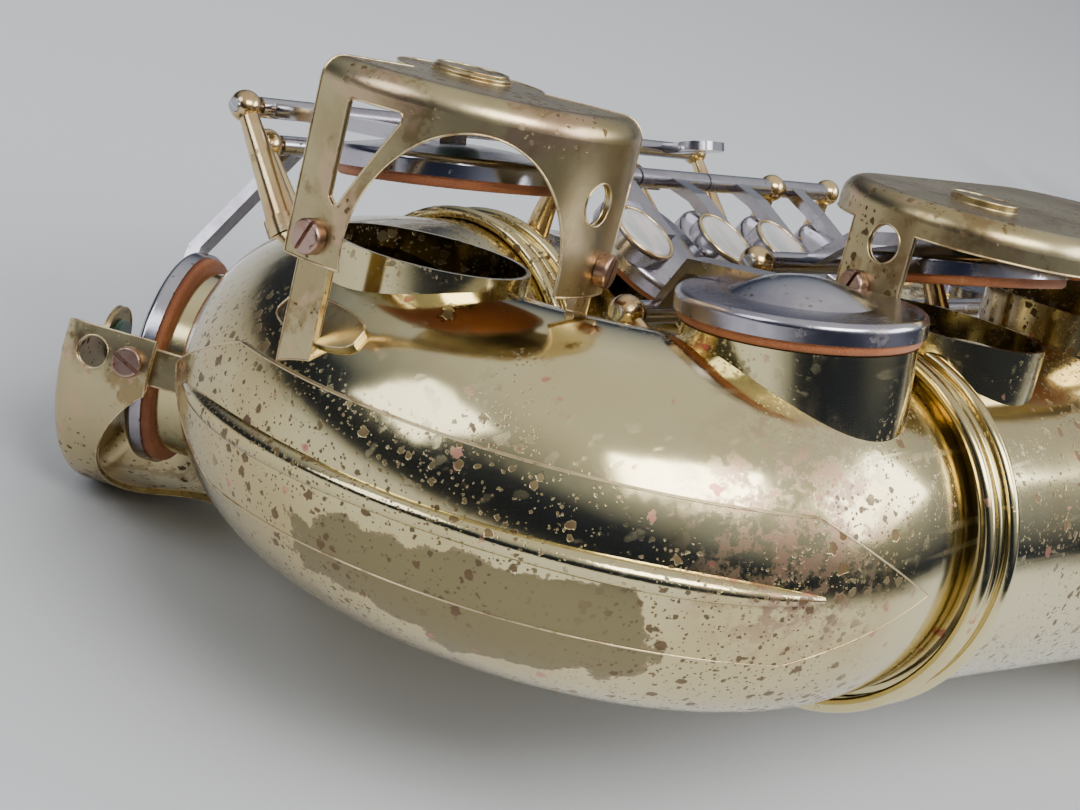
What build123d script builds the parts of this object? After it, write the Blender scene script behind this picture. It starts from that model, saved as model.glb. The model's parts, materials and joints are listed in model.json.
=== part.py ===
from build123d import *
from math import atan2, cos, degrees, radians, sin, sqrt, tan
import os

# Tenor saxophone, in millimetres.
# Modelling frame: +X up the body tube from the bow, -Y from the body towards the bell,
# +Z towards the player's right.  The origin is the centre of the bow's bend.
# Every finished piece is then laid down by one fixed move, REST, so that the horn rests on its left side.

# ---- driving dimensions ----
BEND_RADIUS = 54.0          # half the distance between the body's and the bell's axes
WALL = 1.0                  # brass sheet of the tubes
BOW_R_BODY = 34.5           # outer radius of the bow where the body enters
BOW_R_BELL = 38.0           # outer radius of the bow where the bell starts
COLLAR_END = 20.0           # both collars of the bow end here
BODY_R_LOW = 34.0           # outer radius of the body tube at the bow
BODY_R_TOP = 14.6           # outer radius of the body tube under the neck receiver
BODY_TOP = 640.0            # height of the body tube's top end
BELL_TILT = 4.0             # degrees that the bell leans away from the body
BELL_WALL = 1.2
ROD_R = 1.2                 # steel hinge rods
TUBE_R = 2.5                # hinge tubes of the keys
RUN = 0.06                  # radial running clearance of a hinge tube on its rod
END_GAP = 0.35              # gap between a hinge tube and a post
PAD_GAP = 0.3               # gap left under a closed pad
PAD_THICK = 4.0
CUP_SKIRT = 2.0             # bare pad that shows under the cup
CUP_HEIGHT = 6.2            # from the pad's face to the shoulder of the cup
ARM_WIDTH = 6.0
ARM_THICK = 3.0
BALL_R = 3.8                # ball of a post
PEARL_R = 7.8
PEARL_THICK = 2.4
FLOOR_TILT = -16.882        # degrees that the horn rolls about X to lie on its left side
FLOOR_PITCH = 2.338         # degrees about Y
REST_SHIFT = (-332.5, -14.65, 71.8)

BODY_Y = BEND_RADIUS
BELL_Y = -BEND_RADIUS
BODY_AXIS = Axis((0, BODY_Y, 0), (1, 0, 0))
BELL_DIR = Vector(cos(radians(BELL_TILT)), -sin(radians(BELL_TILT)), 0)
BELL_AXIS = Axis((0, BELL_Y, 0), BELL_DIR)
BELL_PLANE = Plane(origin=(0, BELL_Y, 0), x_dir=BELL_DIR, z_dir=(0, 0, 1))
REST = Location(REST_SHIFT) * Location((0, 0, 0), (FLOOR_TILT, FLOOR_PITCH, 0))

finished = {}
os.makedirs("parts", exist_ok=True)


def save(name, shape):
    """Labels a finished piece, lays it in the resting pose and writes it."""
    placed = shape.moved(REST)
    placed.label = name
    finished[name] = placed
    export_step(placed, f"parts/{name}.step")


def body_radius(x):
    """Outer radius of the body tube's straight cone."""
    return BODY_R_LOW + (BODY_R_TOP - BODY_R_LOW) * (x - COLLAR_END) / (BODY_TOP - COLLAR_END)


def around(degrees_from_front):
    """Direction square to the body axis, turned from the front (-Y) towards the player's right (+Z)."""
    a = radians(degrees_from_front)
    return Vector(0, -cos(a), sin(a))


def bow_point(theta):
    """Point of the bow's centre line: 0 degrees at the body, 180 at the bell."""
    a = radians(theta)
    return Vector(-BEND_RADIUS * sin(a), BEND_RADIUS * cos(a), 0)


def bow_out(theta):
    """Outward direction in the plane of the bow."""
    a = radians(theta)
    return Vector(-sin(a), cos(a), 0)


def bow_radius(theta):
    return BOW_R_BODY + (BOW_R_BELL - BOW_R_BODY) * theta / 180


def swept_bow(offset, start=0, end=180):
    """Tapered round bend, offset from the bow's outer surface."""
    with BuildPart(mode=Mode.PRIVATE) as bend:
        with BuildLine() as path:
            CenterArc((0, 0), BEND_RADIUS, 90 + start, end - start)
        stations = [start + (end - start) * i / 4 for i in range(5)]
        for theta in stations:
            a = radians(theta)
            with BuildSketch(Plane(origin=bow_point(theta), x_dir=bow_out(theta), z_dir=(-cos(a), -sin(a), 0))):
                Circle(bow_radius(theta) + offset)
        sweep(path=path.line, multisection=True)
    return bend.part


# ---- outer forms that other pieces are trimmed against ----
C_HOLE = Vector(-51, 12, 39)                 # rim centres of the tone holes on bow and bell
C_SHARP_HOLE = Vector(-12, -53, 42.2)
C_SHARP_UP = Vector(-0.08, 0.11, 1).normalized()
EB_HOLE = Vector(-33, 89.5, -11)
EB_OUT = bow_out(27)
B_HOLE = Vector(46, -57.5, 44.5)
BB_HOLE = Vector(112, -62, 49.5)
UP = Vector(0, 0, 1)
C_HOLE_R, C_SHARP_HOLE_R, EB_HOLE_R, B_HOLE_R, BB_HOLE_R = 20.0, 23.0, 21.0, 21.0, 24.0
BELL_STATIONS = [(COLLAR_END, 38.6), (90, 41.5), (160, 45.5), (220, 51), (270, 59), (305, 68), (328, 79)]
RIM_BEAD_R = 2.4

# name: (height up the body, degrees from the front, hole radius, chimney height, cup radius)
BODY_HOLES = {
    "d": (47, 50, 14.5, 7.0, 17.5),
    "e": (80, 50, 12.5, 7.0, 15.0),
    "f": (112, 50, 12.5, 7.0, 15.5),
    "f_sharp": (143, 50, 12.0, 7.0, 14.5),
    "g_sharp": (205, 5, 11.0, 5.5, 13.5),
    "g": (262, 45, 11.5, 6.0, 14.0),
    "a": (298, 45, 10.5, 5.5, 13.0),
    "b": (331, 45, 9.5, 5.5, 12.0),
    "small_c": (360, 45, 8.0, 5.0, 10.5),
    "side_b_flat": (300, 125, 9.0, 5.0, 11.5),
    "side_c": (340, 125, 8.0, 5.0, 10.5),
    "side_e": (430, 120, 8.5, 5.0, 11.0),
    "palm_d": (440, 262, 8.5, 5.0, 11.0),
    "palm_e_flat": (480, 250, 8.0, 5.0, 10.5),
    "palm_f": (515, 262, 8.0, 5.0, 10.5),
    "octave": (560, 180, 2.5, 4.0, 5.0),
}


def body_hole_frame(name):
    """Plane at the rim of a body tone hole, facing out, with its X along the body."""
    x, angle, _, height, _ = BODY_HOLES[name]
    out = around(angle)
    rim = Vector(x, BODY_Y, 0) + out * (body_radius(x) + height)
    return Plane(origin=rim, x_dir=(1, 0, 0), z_dir=out)


def cone(start, end, r_start, r_end, axis_y):
    """Cone whose axis runs along X."""
    with BuildPart(mode=Mode.PRIVATE) as solid:
        with BuildSketch(Plane.XY):
            Polygon((start, axis_y), (end, axis_y), (end, axis_y + r_end), (start, axis_y + r_start), align=None)
        revolve(axis=Axis((0, axis_y, 0), (1, 0, 0)))
    return solid.part


def plug(plane, radius, low, high):
    """Round plug along a plane's normal, between two heights."""
    with BuildPart(mode=Mode.PRIVATE) as solid:
        with BuildSketch(plane.offset(low)):
            Circle(radius)
        extrude(amount=high - low)
    return solid.part


def bell_form(inset):
    """Solid of revolution of the bell's outer surface, inset evenly."""
    with BuildPart(mode=Mode.PRIVATE) as solid:
        with BuildSketch(BELL_PLANE):
            with BuildLine():
                points = [(s, r - inset) for s, r in BELL_STATIONS]
                flare = Spline(*points, tangents=[(1, 0.03), (1, 0.85)])
                Polyline(flare @ 1, (points[-1][0], 0), (points[0][0], 0), flare @ 0)
            make_face()
        revolve(axis=BELL_AXIS)
    return solid.part


C_PLANE = Plane(origin=C_HOLE, x_dir=(1, 0, 0), z_dir=UP)
C_SHARP_PLANE = Plane(origin=C_SHARP_HOLE, x_dir=(1, 0, 0.08), z_dir=C_SHARP_UP)
EB_PLANE = Plane(origin=EB_HOLE, x_dir=Vector(-EB_OUT.Y, EB_OUT.X, 0), z_dir=EB_OUT)
B_PLANE = Plane(origin=B_HOLE, x_dir=(1, 0, 0), z_dir=UP)
BB_PLANE = Plane(origin=BB_HOLE, x_dir=(1, 0, 0), z_dir=UP)
BOW_HOLES = [(C_PLANE, C_HOLE_R), (C_SHARP_PLANE, C_SHARP_HOLE_R), (EB_PLANE, EB_HOLE_R)]
BELL_HOLES = [(B_PLANE, B_HOLE_R), (BB_PLANE, BB_HOLE_R)]
CHIMNEY_DEPTH = 30.0

SEAM_TURN = 230              # turns the tube's seam line to where no tone hole or post stands
body_form = cone(COLLAR_END, BODY_TOP, BODY_R_LOW, BODY_R_TOP, BODY_Y).rotate(BODY_AXIS, SEAM_TURN)
body_bore = cone(COLLAR_END - 1, BODY_TOP + 1, BODY_R_LOW - WALL, BODY_R_TOP - WALL, BODY_Y)
body_bore = body_bore.rotate(BODY_AXIS, SEAM_TURN)
bow_form = swept_bow(0) + cone(0, COLLAR_END, BOW_R_BODY, BOW_R_BODY, BODY_Y)
bow_form += cone(0, COLLAR_END, BOW_R_BELL, BOW_R_BELL, BELL_Y)
bow_bore = swept_bow(-WALL) + cone(0, COLLAR_END + 1, BOW_R_BODY - WALL, BOW_R_BODY - WALL, BODY_Y)
bow_bore += cone(0, COLLAR_END + 1, BOW_R_BELL - WALL, BOW_R_BELL - WALL, BELL_Y)
bell_outer = bell_form(0)

# ---- tubes ----
with BuildPart() as body_tube:
    add(body_form)
    for hole in BODY_HOLES:
        plane = body_hole_frame(hole)
        depth = BODY_HOLES[hole][3] + body_radius(BODY_HOLES[hole][0]) * 0.9
        add(plug(plane, BODY_HOLES[hole][2] + WALL, -depth, 0))
    add(body_bore, mode=Mode.SUBTRACT)
    for hole in BODY_HOLES:
        depth = BODY_HOLES[hole][3] + body_radius(BODY_HOLES[hole][0]) * 0.9
        add(plug(body_hole_frame(hole), BODY_HOLES[hole][2], -depth, 1), mode=Mode.SUBTRACT)
save("body_tube", body_tube.part)

with BuildPart() as bow_tube:
    add(bow_form)
    for plane, radius in BOW_HOLES:
        add(plug(plane, radius + WALL, -CHIMNEY_DEPTH, 0))
    add(bow_bore, mode=Mode.SUBTRACT)
    for plane, radius in BOW_HOLES:
        add(plug(plane, radius, -CHIMNEY_DEPTH, 1), mode=Mode.SUBTRACT)
save("bow_tube", bow_tube.part)

with BuildPart() as bell:
    add(bell_outer)
    for plane, radius in BELL_HOLES:
        add(plug(plane, radius + WALL, -CHIMNEY_DEPTH, 0))
    with BuildSketch(BELL_PLANE):
        with Locations(BELL_STATIONS[-1]):
            Circle(RIM_BEAD_R)
    revolve(axis=BELL_AXIS)
    add(bell_form(BELL_WALL), mode=Mode.SUBTRACT)
    for plane, radius in BELL_HOLES:
        add(plug(plane, radius, -CHIMNEY_DEPTH, 1), mode=Mode.SUBTRACT)
save("bell", bell.part)

# ---- rings, guard plate and rib ----
RING_HALF = 5.0
BEAD_R = 1.6


def beaded_ring(axis_point, x_dir, inner_r, position):
    """Connector ring with a bead at each edge and a flat band between them."""
    plane = Plane(origin=axis_point, x_dir=x_dir, z_dir=(0, 0, 1))
    with BuildPart(mode=Mode.PRIVATE) as ring:
        with BuildSketch(plane):
            with Locations((position, inner_r + BEAD_R * 0.4)):
                Rectangle(2 * RING_HALF, BEAD_R * 0.8)
            for side in (-1, 1):
                with Locations((position + side * RING_HALF, inner_r + BEAD_R)):
                    Circle(BEAD_R)
            with Locations((position, inner_r + BEAD_R * 0.8)):
                Circle(BEAD_R * 0.5)
        revolve(axis=Axis(axis_point, x_dir))
    return ring.part


with BuildPart() as body_bow_ring:
    add(beaded_ring((0, BODY_Y, 0), (1, 0, 0), BOW_R_BODY, COLLAR_END))
    add(cone(0, COLLAR_END + 2 * RING_HALF, BOW_R_BODY, BOW_R_BODY, BODY_Y), mode=Mode.SUBTRACT)
save("body_bow_ring", body_bow_ring.part)

with BuildPart() as bell_bow_ring:
    add(beaded_ring((0, BELL_Y, 0), BELL_DIR, BOW_R_BELL + 0.8, COLLAR_END + 1))
    add(bow_form, mode=Mode.SUBTRACT)
    add(bell_outer, mode=Mode.SUBTRACT)
    add(plug(B_PLANE, B_HOLE_R + WALL + 1.2, -CHIMNEY_DEPTH, 2), mode=Mode.SUBTRACT)
save("bell_bow_ring", bell_bow_ring.part)

PLATE_THICK = 0.9
PLATE_HALF = 15.0            # half width of the guard plate across the bow
PLATE_START, PLATE_END = 50, 177      # degrees along the bow of its two points
SHOULDER_START, SHOULDER_END = 71, 156.5
RIB_START, RIB_END = 60, 158
RIB_R = 2.4


def point_cut(tip, shoulder, side):
    """Plane that trims one slanted edge of the plate's point; it looks away from the plate."""
    reach = bow_radius(tip) + BEND_RADIUS
    run = reach * sin(radians(shoulder - tip))
    along = Vector(-cos(radians(tip)), -sin(radians(tip)), 0)
    slope = (along * run + UP * side * PLATE_HALF).normalized()
    return Plane(origin=bow_out(tip) * reach, x_dir=slope, z_dir=bow_out(tip).cross(slope))


with BuildPart() as bow_guard_plate:
    add(swept_bow(PLATE_THICK, PLATE_START, PLATE_END))
    with BuildSketch(Plane.XY.offset(-PLATE_HALF)):
        Circle(2 * BEND_RADIUS)
        Circle(BEND_RADIUS + BOW_R_BODY * 0.7, mode=Mode.SUBTRACT)
    extrude(amount=2 * PLATE_HALF, mode=Mode.INTERSECT)
    for tip, shoulder in ((PLATE_START, SHOULDER_START), (PLATE_END, SHOULDER_END)):
        for side in (-1, 1):
            cut = point_cut(tip, shoulder, side)
            middle = bow_point((PLATE_START + PLATE_END) / 2) * 1.6
            keep = Keep.TOP if (middle - cut.origin).dot(cut.z_dir) > 0 else Keep.BOTTOM
            split(bisect_by=cut, keep=keep)
    add(bow_form, mode=Mode.SUBTRACT)
save("bow_guard_plate", bow_guard_plate.part)

with BuildPart() as bow_rib:
    with BuildLine() as rib_path:
        stations = [RIB_START + (RIB_END - RIB_START) * i / 6 for i in range(7)]
        Spline(*[bow_point(a) + bow_out(a) * (bow_radius(a) + PLATE_THICK) for a in stations])
    for i, grow in enumerate((0.25, 1.0, 1.0, 1.0, 0.25)):
        fraction = (0, 0.12, 0.5, 0.88, 1)[i]
        with BuildSketch(Plane(rib_path.line ^ fraction)):
            Circle(RIB_R * grow)
    sweep(path=rib_path.line, multisection=True)
    add(bow_guard_plate.part, mode=Mode.SUBTRACT)
    add(bow_form, mode=Mode.SUBTRACT)
save("bow_rib", bow_rib.part.solids().sort_by(SortBy.VOLUME)[-1])

# ---- bell brace, neck receiver and body fittings ----
BRACE_X = 178.0
BRACE_R = 13.0
with BuildPart() as bell_brace:
    body_side = BODY_Y - body_radius(BRACE_X)
    bell_side = BELL_Y - BRACE_X * tan(radians(BELL_TILT)) + 48.0
    middle = (body_side + bell_side) / 2
    with BuildSketch(Plane.XY.offset(-3)):
        with Locations((BRACE_X, middle)):
            Circle(BRACE_R)
            Circle(BRACE_R - 3, mode=Mode.SUBTRACT)
    extrude(amount=6)
    for y in (middle + BRACE_R - 2, bell_side - 4):
        with BuildSketch(Plane(origin=(BRACE_X, y, 0), x_dir=(1, 0, 0), z_dir=(0, 1, 0))):
            Circle(3)
        extrude(amount=middle - BRACE_R + 6 - bell_side if y < middle else body_side + 6 - y)
    for y in (body_side - 1.5, bell_side - 3):
        with BuildSketch(Plane(origin=(BRACE_X, y, 0), x_dir=(1, 0, 0), z_dir=(0, 1, 0))):
            SlotOverall(30, 14)
        extrude(amount=7)
    add(body_form, mode=Mode.SUBTRACT)
    add(bell_outer, mode=Mode.SUBTRACT)
save("bell_brace", bell_brace.part)

SOCKET_R = 13.6              # bore of the neck receiver
SOCKET_DEPTH = 24.0
RECEIVER_R = 15.4
SLOT_WIDTH = 1.6
CLAMP_X = BODY_TOP + 12.0
CLAMP_SCREW_R = 1.6
with BuildPart() as neck_receiver:
    with BuildSketch(Plane(origin=(BODY_TOP - 8, BODY_Y, 0), x_dir=(0, 1, 0), z_dir=(1, 0, 0))):
        Circle(RECEIVER_R + 1)
    extrude(amount=8)
    with BuildSketch(Plane(origin=(BODY_TOP, BODY_Y, 0), x_dir=(0, 1, 0), z_dir=(1, 0, 0))):
        Circle(RECEIVER_R)
    extrude(amount=SOCKET_DEPTH)
    with BuildSketch(Plane(origin=(CLAMP_X - 5, BODY_Y, 0), x_dir=(0, 1, 0), z_dir=(1, 0, 0))):
        with Locations((RECEIVER_R + 4, 0)):
            Rectangle(11, 9)
    extrude(amount=10)
    add(body_form, mode=Mode.SUBTRACT)
    with BuildSketch(Plane(origin=(BODY_TOP, BODY_Y, 0), x_dir=(0, 1, 0), z_dir=(1, 0, 0))):
        Circle(SOCKET_R)
    extrude(amount=SOCKET_DEPTH + 1, mode=Mode.SUBTRACT)
    with BuildSketch(Plane(origin=(BODY_TOP + 3, BODY_Y, 0), x_dir=(0, 1, 0), z_dir=(1, 0, 0))):
        with Locations((RECEIVER_R + 3, 0)):
            Rectangle(16, SLOT_WIDTH)
    extrude(amount=SOCKET_DEPTH, mode=Mode.SUBTRACT)
    with BuildSketch(Plane(origin=(CLAMP_X, BODY_Y + RECEIVER_R + 5, -8))):
        Circle(CLAMP_SCREW_R + RUN)
    extrude(amount=16, mode=Mode.SUBTRACT)
save("neck_receiver", neck_receiver.part)

with BuildPart() as neck_clamp_screw:
    with BuildSketch(Plane(origin=(CLAMP_X, BODY_Y + RECEIVER_R + 5, -7))):
        Circle(CLAMP_SCREW_R)
    extrude(amount=12.5)
    with BuildSketch(Plane(origin=(CLAMP_X, BODY_Y + RECEIVER_R + 5, 4.6))):
        Circle(4.2)
    extrude(amount=6.6)
    with BuildSketch(Plane(origin=(CLAMP_X, BODY_Y + RECEIVER_R + 5, 11.2), x_dir=(0, 1, 0), z_dir=(0, 0, 1))):
        SlotOverall(17, 8)
    extrude(amount=2)
save("neck_clamp_screw", neck_clamp_screw.part)

STRAP_X = 385.0
STRAP_RING_R = 7.0
STRAP_RING_OUT = 9.5         # from the tube's back to the middle of the ring
STRAP_RING_WIDE = 4.0
with BuildPart() as strap_ring:
    back = BODY_Y + body_radius(STRAP_X)
    with BuildSketch(Plane(origin=(STRAP_X, back + STRAP_RING_OUT, -STRAP_RING_WIDE / 2))):
        Circle(STRAP_RING_R + 3)
    extrude(amount=STRAP_RING_WIDE)
    with BuildSketch(Plane(origin=(STRAP_X, back - 2, 0), x_dir=(1, 0, 0), z_dir=(0, 1, 0))):
        SlotOverall(30, 9)
    extrude(amount=3.5)
    with BuildSketch(Plane(origin=(STRAP_X, back + STRAP_RING_OUT, -STRAP_RING_WIDE))):
        Circle(STRAP_RING_R)
    extrude(amount=2 * STRAP_RING_WIDE, mode=Mode.SUBTRACT)
    add(body_form, mode=Mode.SUBTRACT)
save("strap_ring", strap_ring.part)

HOOK_X = 150.0
with BuildPart() as thumb_hook:
    back = BODY_Y + body_radius(HOOK_X)
    with BuildSketch(Plane.XY.offset(-5)):
        with BuildLine():
            Polyline((HOOK_X - 14, back - 3), (HOOK_X + 12, back - 3), (HOOK_X + 12, back + 2), (HOOK_X + 3, back + 2))
            Line((HOOK_X + 3, back + 2), (HOOK_X + 3, back + 13))
            RadiusArc((HOOK_X + 3, back + 13), (HOOK_X - 12, back + 20), 18)
            Line((HOOK_X - 12, back + 20), (HOOK_X - 12, back + 17.5))
            RadiusArc((HOOK_X - 12, back + 17.5), (HOOK_X, back + 12), -15)
            Polyline((HOOK_X, back + 12), (HOOK_X, back + 2), (HOOK_X - 14, back + 2), (HOOK_X - 14, back - 3))
        make_face()
    extrude(amount=10)
    add(body_form, mode=Mode.SUBTRACT)
save("thumb_hook", thumb_hook.part)

REST_X = 455.0
with BuildPart() as thumb_rest:
    with BuildSketch(Plane(origin=(REST_X, BODY_Y + body_radius(REST_X) - 3, 0), x_dir=(1, 0, 0), z_dir=(0, 1, 0))):
        Ellipse(7.5, 7)
    extrude(amount=6)
    fillet(thumb_rest.faces().sort_by(Axis.Y)[-1].edges(), 1.6)
    add(body_form, mode=Mode.SUBTRACT)
save("thumb_rest", thumb_rest.part)

# ---- sheet guards ----
SHEET = 1.2
SHEET_BEND = 4.5
SCREW_HEAD_R = 3.5
SCREW_HEAD_H = 2.6
SCREW_R = 1.5
C_GUARD_R, C_GUARD_TOP = 36.0, 75.0
EB_GUARD_R, EB_GUARD_TOP = 33.5, 21.0


def turned(frame, azimuth):
    """Direction square to a frame's axis, turned from its X."""
    a = radians(azimuth)
    return frame.x_dir * cos(a) + frame.y_dir * sin(a)


def facing(frame, azimuth, reach=0.0):
    """Plane that looks outwards at an azimuth of a frame; its Y is the frame's axis."""
    out = turned(frame, azimuth)
    return Plane(origin=frame.origin + out * reach, x_dir=turned(frame, azimuth + 90), z_dir=out)


def skirt_guard(frame, radius, low, high, start, arc):
    """Pressed sheet: a curved skirt, a rounded shoulder and a flat top."""
    out = turned(frame, start)
    section = Plane(origin=frame.origin, x_dir=out, z_dir=out.cross(frame.z_dir))
    with BuildPart(mode=Mode.PRIVATE) as guard:
        with BuildSketch(section):
            with BuildLine():
                Line((radius, low), (radius, high - SHEET_BEND))
                RadiusArc((radius, high - SHEET_BEND), (radius - SHEET_BEND, high), -SHEET_BEND)
                Polyline((radius - SHEET_BEND, high), (0, high), (0, high - SHEET), (radius - SHEET_BEND, high - SHEET))
                RadiusArc((radius - SHEET_BEND, high - SHEET), (radius - SHEET, high - SHEET_BEND), SHEET_BEND - SHEET)
                Polyline((radius - SHEET, high - SHEET_BEND), (radius - SHEET, low), (radius, low))
            make_face()
        revolve(axis=Axis(frame.origin, frame.z_dir), revolution_arc=arc)
    return guard.part


def slotted_screw(plane, shank):
    """Round-headed slotted screw whose head sits on the plane."""
    with BuildPart(mode=Mode.PRIVATE) as screw:
        with BuildSketch(plane):
            Circle(SCREW_HEAD_R)
        extrude(amount=SCREW_HEAD_H)
        fillet(screw.edges().filter_by(GeomType.CIRCLE).sort_by(Axis(plane.origin, plane.z_dir))[-1], 0.7)
        with BuildSketch(plane):
            Circle(SCREW_R)
        extrude(amount=-shank)
        with BuildSketch(plane.offset(SCREW_HEAD_H - 1.1)):
            Rectangle(9, 0.9, rotation=65)
        extrude(amount=3, mode=Mode.SUBTRACT)
    return screw.part


C_GUARD_FRAME = Plane(origin=(C_HOLE.X, C_HOLE.Y, 0), x_dir=(1, 0, 0), z_dir=(0, 0, 1))
C_GUARD_FEET = ((181, 41.2), (286, 45.5))         # azimuth and height of the two screws
EB_GUARD_FOOT = (8, 3.7)
GUARD_START, GUARD_ARC = 170, 132
with BuildPart() as low_c_guard:
    add(skirt_guard(C_GUARD_FRAME, C_GUARD_R, 36.5, C_GUARD_TOP, GUARD_START, GUARD_ARC))
    with BuildSketch(Plane.XY.offset(C_GUARD_TOP - SHEET)):
        with Locations((C_HOLE.X, C_HOLE.Y)):
            Circle(15)
    extrude(amount=SHEET)
    with BuildSketch(facing(C_GUARD_FRAME, 227.5)):
        with Locations((0, 42)):
            Ellipse(21, 26)
    extrude(amount=50, mode=Mode.SUBTRACT)
    with BuildSketch(facing(C_GUARD_FRAME, 192)) as window:
        Polygon((-5.4, 68.4), (6.3, 68.4), (6.3, 66.5), (-3.4, 47.5), (-5.4, 49.5), align=None)
        fillet(window.vertices(), 0.9)
    extrude(amount=50, mode=Mode.SUBTRACT)
    with BuildSketch(facing(C_GUARD_FRAME, 274)):
        with Locations((0, 58.5)):
            Circle(4.3)
    extrude(amount=50, mode=Mode.SUBTRACT)
    with BuildSketch(facing(C_GUARD_FRAME, 287)):
        Polygon((5.5, 30), (5.5, 47), (8.5, 60), (9.5, 63), (40, 63), (40, 30), align=None)
        Polygon((-40, 30), (-40, 40), (5.5, 40), (5.5, 30), align=None)
    extrude(amount=50, mode=Mode.SUBTRACT)
    for azimuth, height in C_GUARD_FEET:
        with BuildSketch(facing(C_GUARD_FRAME, azimuth)):
            with Locations((0, height)):
                Circle(SCREW_R)
        extrude(amount=50, mode=Mode.SUBTRACT)
    with BuildSketch(Plane.XY.offset(C_GUARD_TOP)):
        with Locations((C_HOLE.X, C_HOLE.Y)):
            Circle(8)
    extrude(amount=1.4)
    chamfer(low_c_guard.faces().sort_by(Axis.Z)[-1].edges(), 0.7)
save("low_c_guard", low_c_guard.part)

with BuildPart() as low_eb_guard:
    add(skirt_guard(EB_PLANE, EB_GUARD_R, -13, EB_GUARD_TOP, -125, 143))
    with BuildSketch(EB_PLANE.offset(EB_GUARD_TOP - SHEET)):
        Circle(8)
    extrude(amount=SHEET)
    with BuildSketch(facing(EB_PLANE, -46)):
        with Locations((0, -9)):
            Ellipse(25, 19)
    extrude(amount=50, mode=Mode.SUBTRACT)
    with BuildSketch(facing(EB_PLANE, 8)):
        with Locations((0, 12.6)):
            Circle(3.7)
        with Locations((0, EB_GUARD_FOOT[1])):
            Circle(SCREW_R)
        Polygon((-8, -20), (-8, -1), (12, -1), (12, -20), align=None)
    extrude(amount=50, mode=Mode.SUBTRACT)
    add(bow_form, mode=Mode.SUBTRACT)
save("low_eb_guard", low_eb_guard.part)

BELL_GUARD_LOW, BELL_GUARD_TOP = 46.0, 71.5
BELL_GUARD_RADII = (30.5, 35.0)
BELL_GUARD_RAIL = 63.8
BELL_GUARD_FOOT = (162, 50.0)
BELL_GUARD_FRAME = Plane(origin=(B_HOLE.X, B_HOLE.Y, 0), x_dir=(1, 0, 0), z_dir=(0, 0, 1))
BELL_GUARD_SPAN = Vector(BB_HOLE.X - B_HOLE.X, BB_HOLE.Y - B_HOLE.Y, 0)
# azimuth of each foot and how far out the guard's sheet stands there
BELL_GUARD_FEET = ((BELL_GUARD_FOOT[0], BELL_GUARD_RADII[0]),
                   (degrees(atan2(BELL_GUARD_SPAN.Y, BELL_GUARD_SPAN.X)), BELL_GUARD_SPAN.length + BELL_GUARD_RADII[1]))


def guard_block(inset, low, high, bend):
    """Solid block with the outline of the long guard over the two bell keys."""
    with BuildPart(mode=Mode.PRIVATE) as block:
        with BuildSketch(Plane.XY.offset(low)):
            with Locations((B_HOLE.X, B_HOLE.Y)):
                Circle(BELL_GUARD_RADII[0] - inset)
            with Locations((BB_HOLE.X, BB_HOLE.Y)):
                Circle(BELL_GUARD_RADII[1] - inset)
            make_hull()
        extrude(amount=high - low)
        fillet(block.faces().sort_by(Axis.Z)[-1].edges(), bend)
    return block.part


with BuildPart() as bell_key_guard:
    add(guard_block(0, BELL_GUARD_LOW, BELL_GUARD_TOP, SHEET_BEND))
    add(guard_block(SHEET, BELL_GUARD_LOW - 1, BELL_GUARD_TOP - SHEET, SHEET_BEND - SHEET), mode=Mode.SUBTRACT)
    with BuildSketch(Plane(origin=(0, B_HOLE.Y - 1, 0), x_dir=(1, 0, 0), z_dir=(0, -1, 0))) as near_window:
        Polygon((0, 40), (200, 40), (200, BELL_GUARD_RAIL), (0, BELL_GUARD_RAIL), align=None)
    extrude(amount=60, mode=Mode.SUBTRACT)
    with BuildSketch(Plane(origin=(0, B_HOLE.Y + 16, 0), x_dir=(1, 0, 0), z_dir=(0, -1, 0))) as far_window:
        Polygon((0, 40), (200, 40), (200, BELL_GUARD_RAIL), (0, BELL_GUARD_RAIL), align=None)
    extrude(amount=-60, mode=Mode.SUBTRACT)
    with BuildSketch(facing(BELL_GUARD_FRAME, 169, 15)):
        with Locations((0, 60.4)):
            Circle(4.2)
    extrude(amount=30, mode=Mode.SUBTRACT)
    for azimuth, reach in BELL_GUARD_FEET:
        with BuildSketch(facing(BELL_GUARD_FRAME, azimuth, reach - 10)):
            with Locations((0, BELL_GUARD_FOOT[1])):
                Circle(SCREW_R)
        extrude(amount=20, mode=Mode.SUBTRACT)
    for hole, size in ((B_HOLE, 7.5), (BB_HOLE, 7.5)):
        with BuildSketch(Plane.XY.offset(BELL_GUARD_TOP)):
            with Locations((hole.X, hole.Y)):
                Circle(size)
        extrude(amount=1.4)
save("bell_key_guard", bell_key_guard.part)

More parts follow.
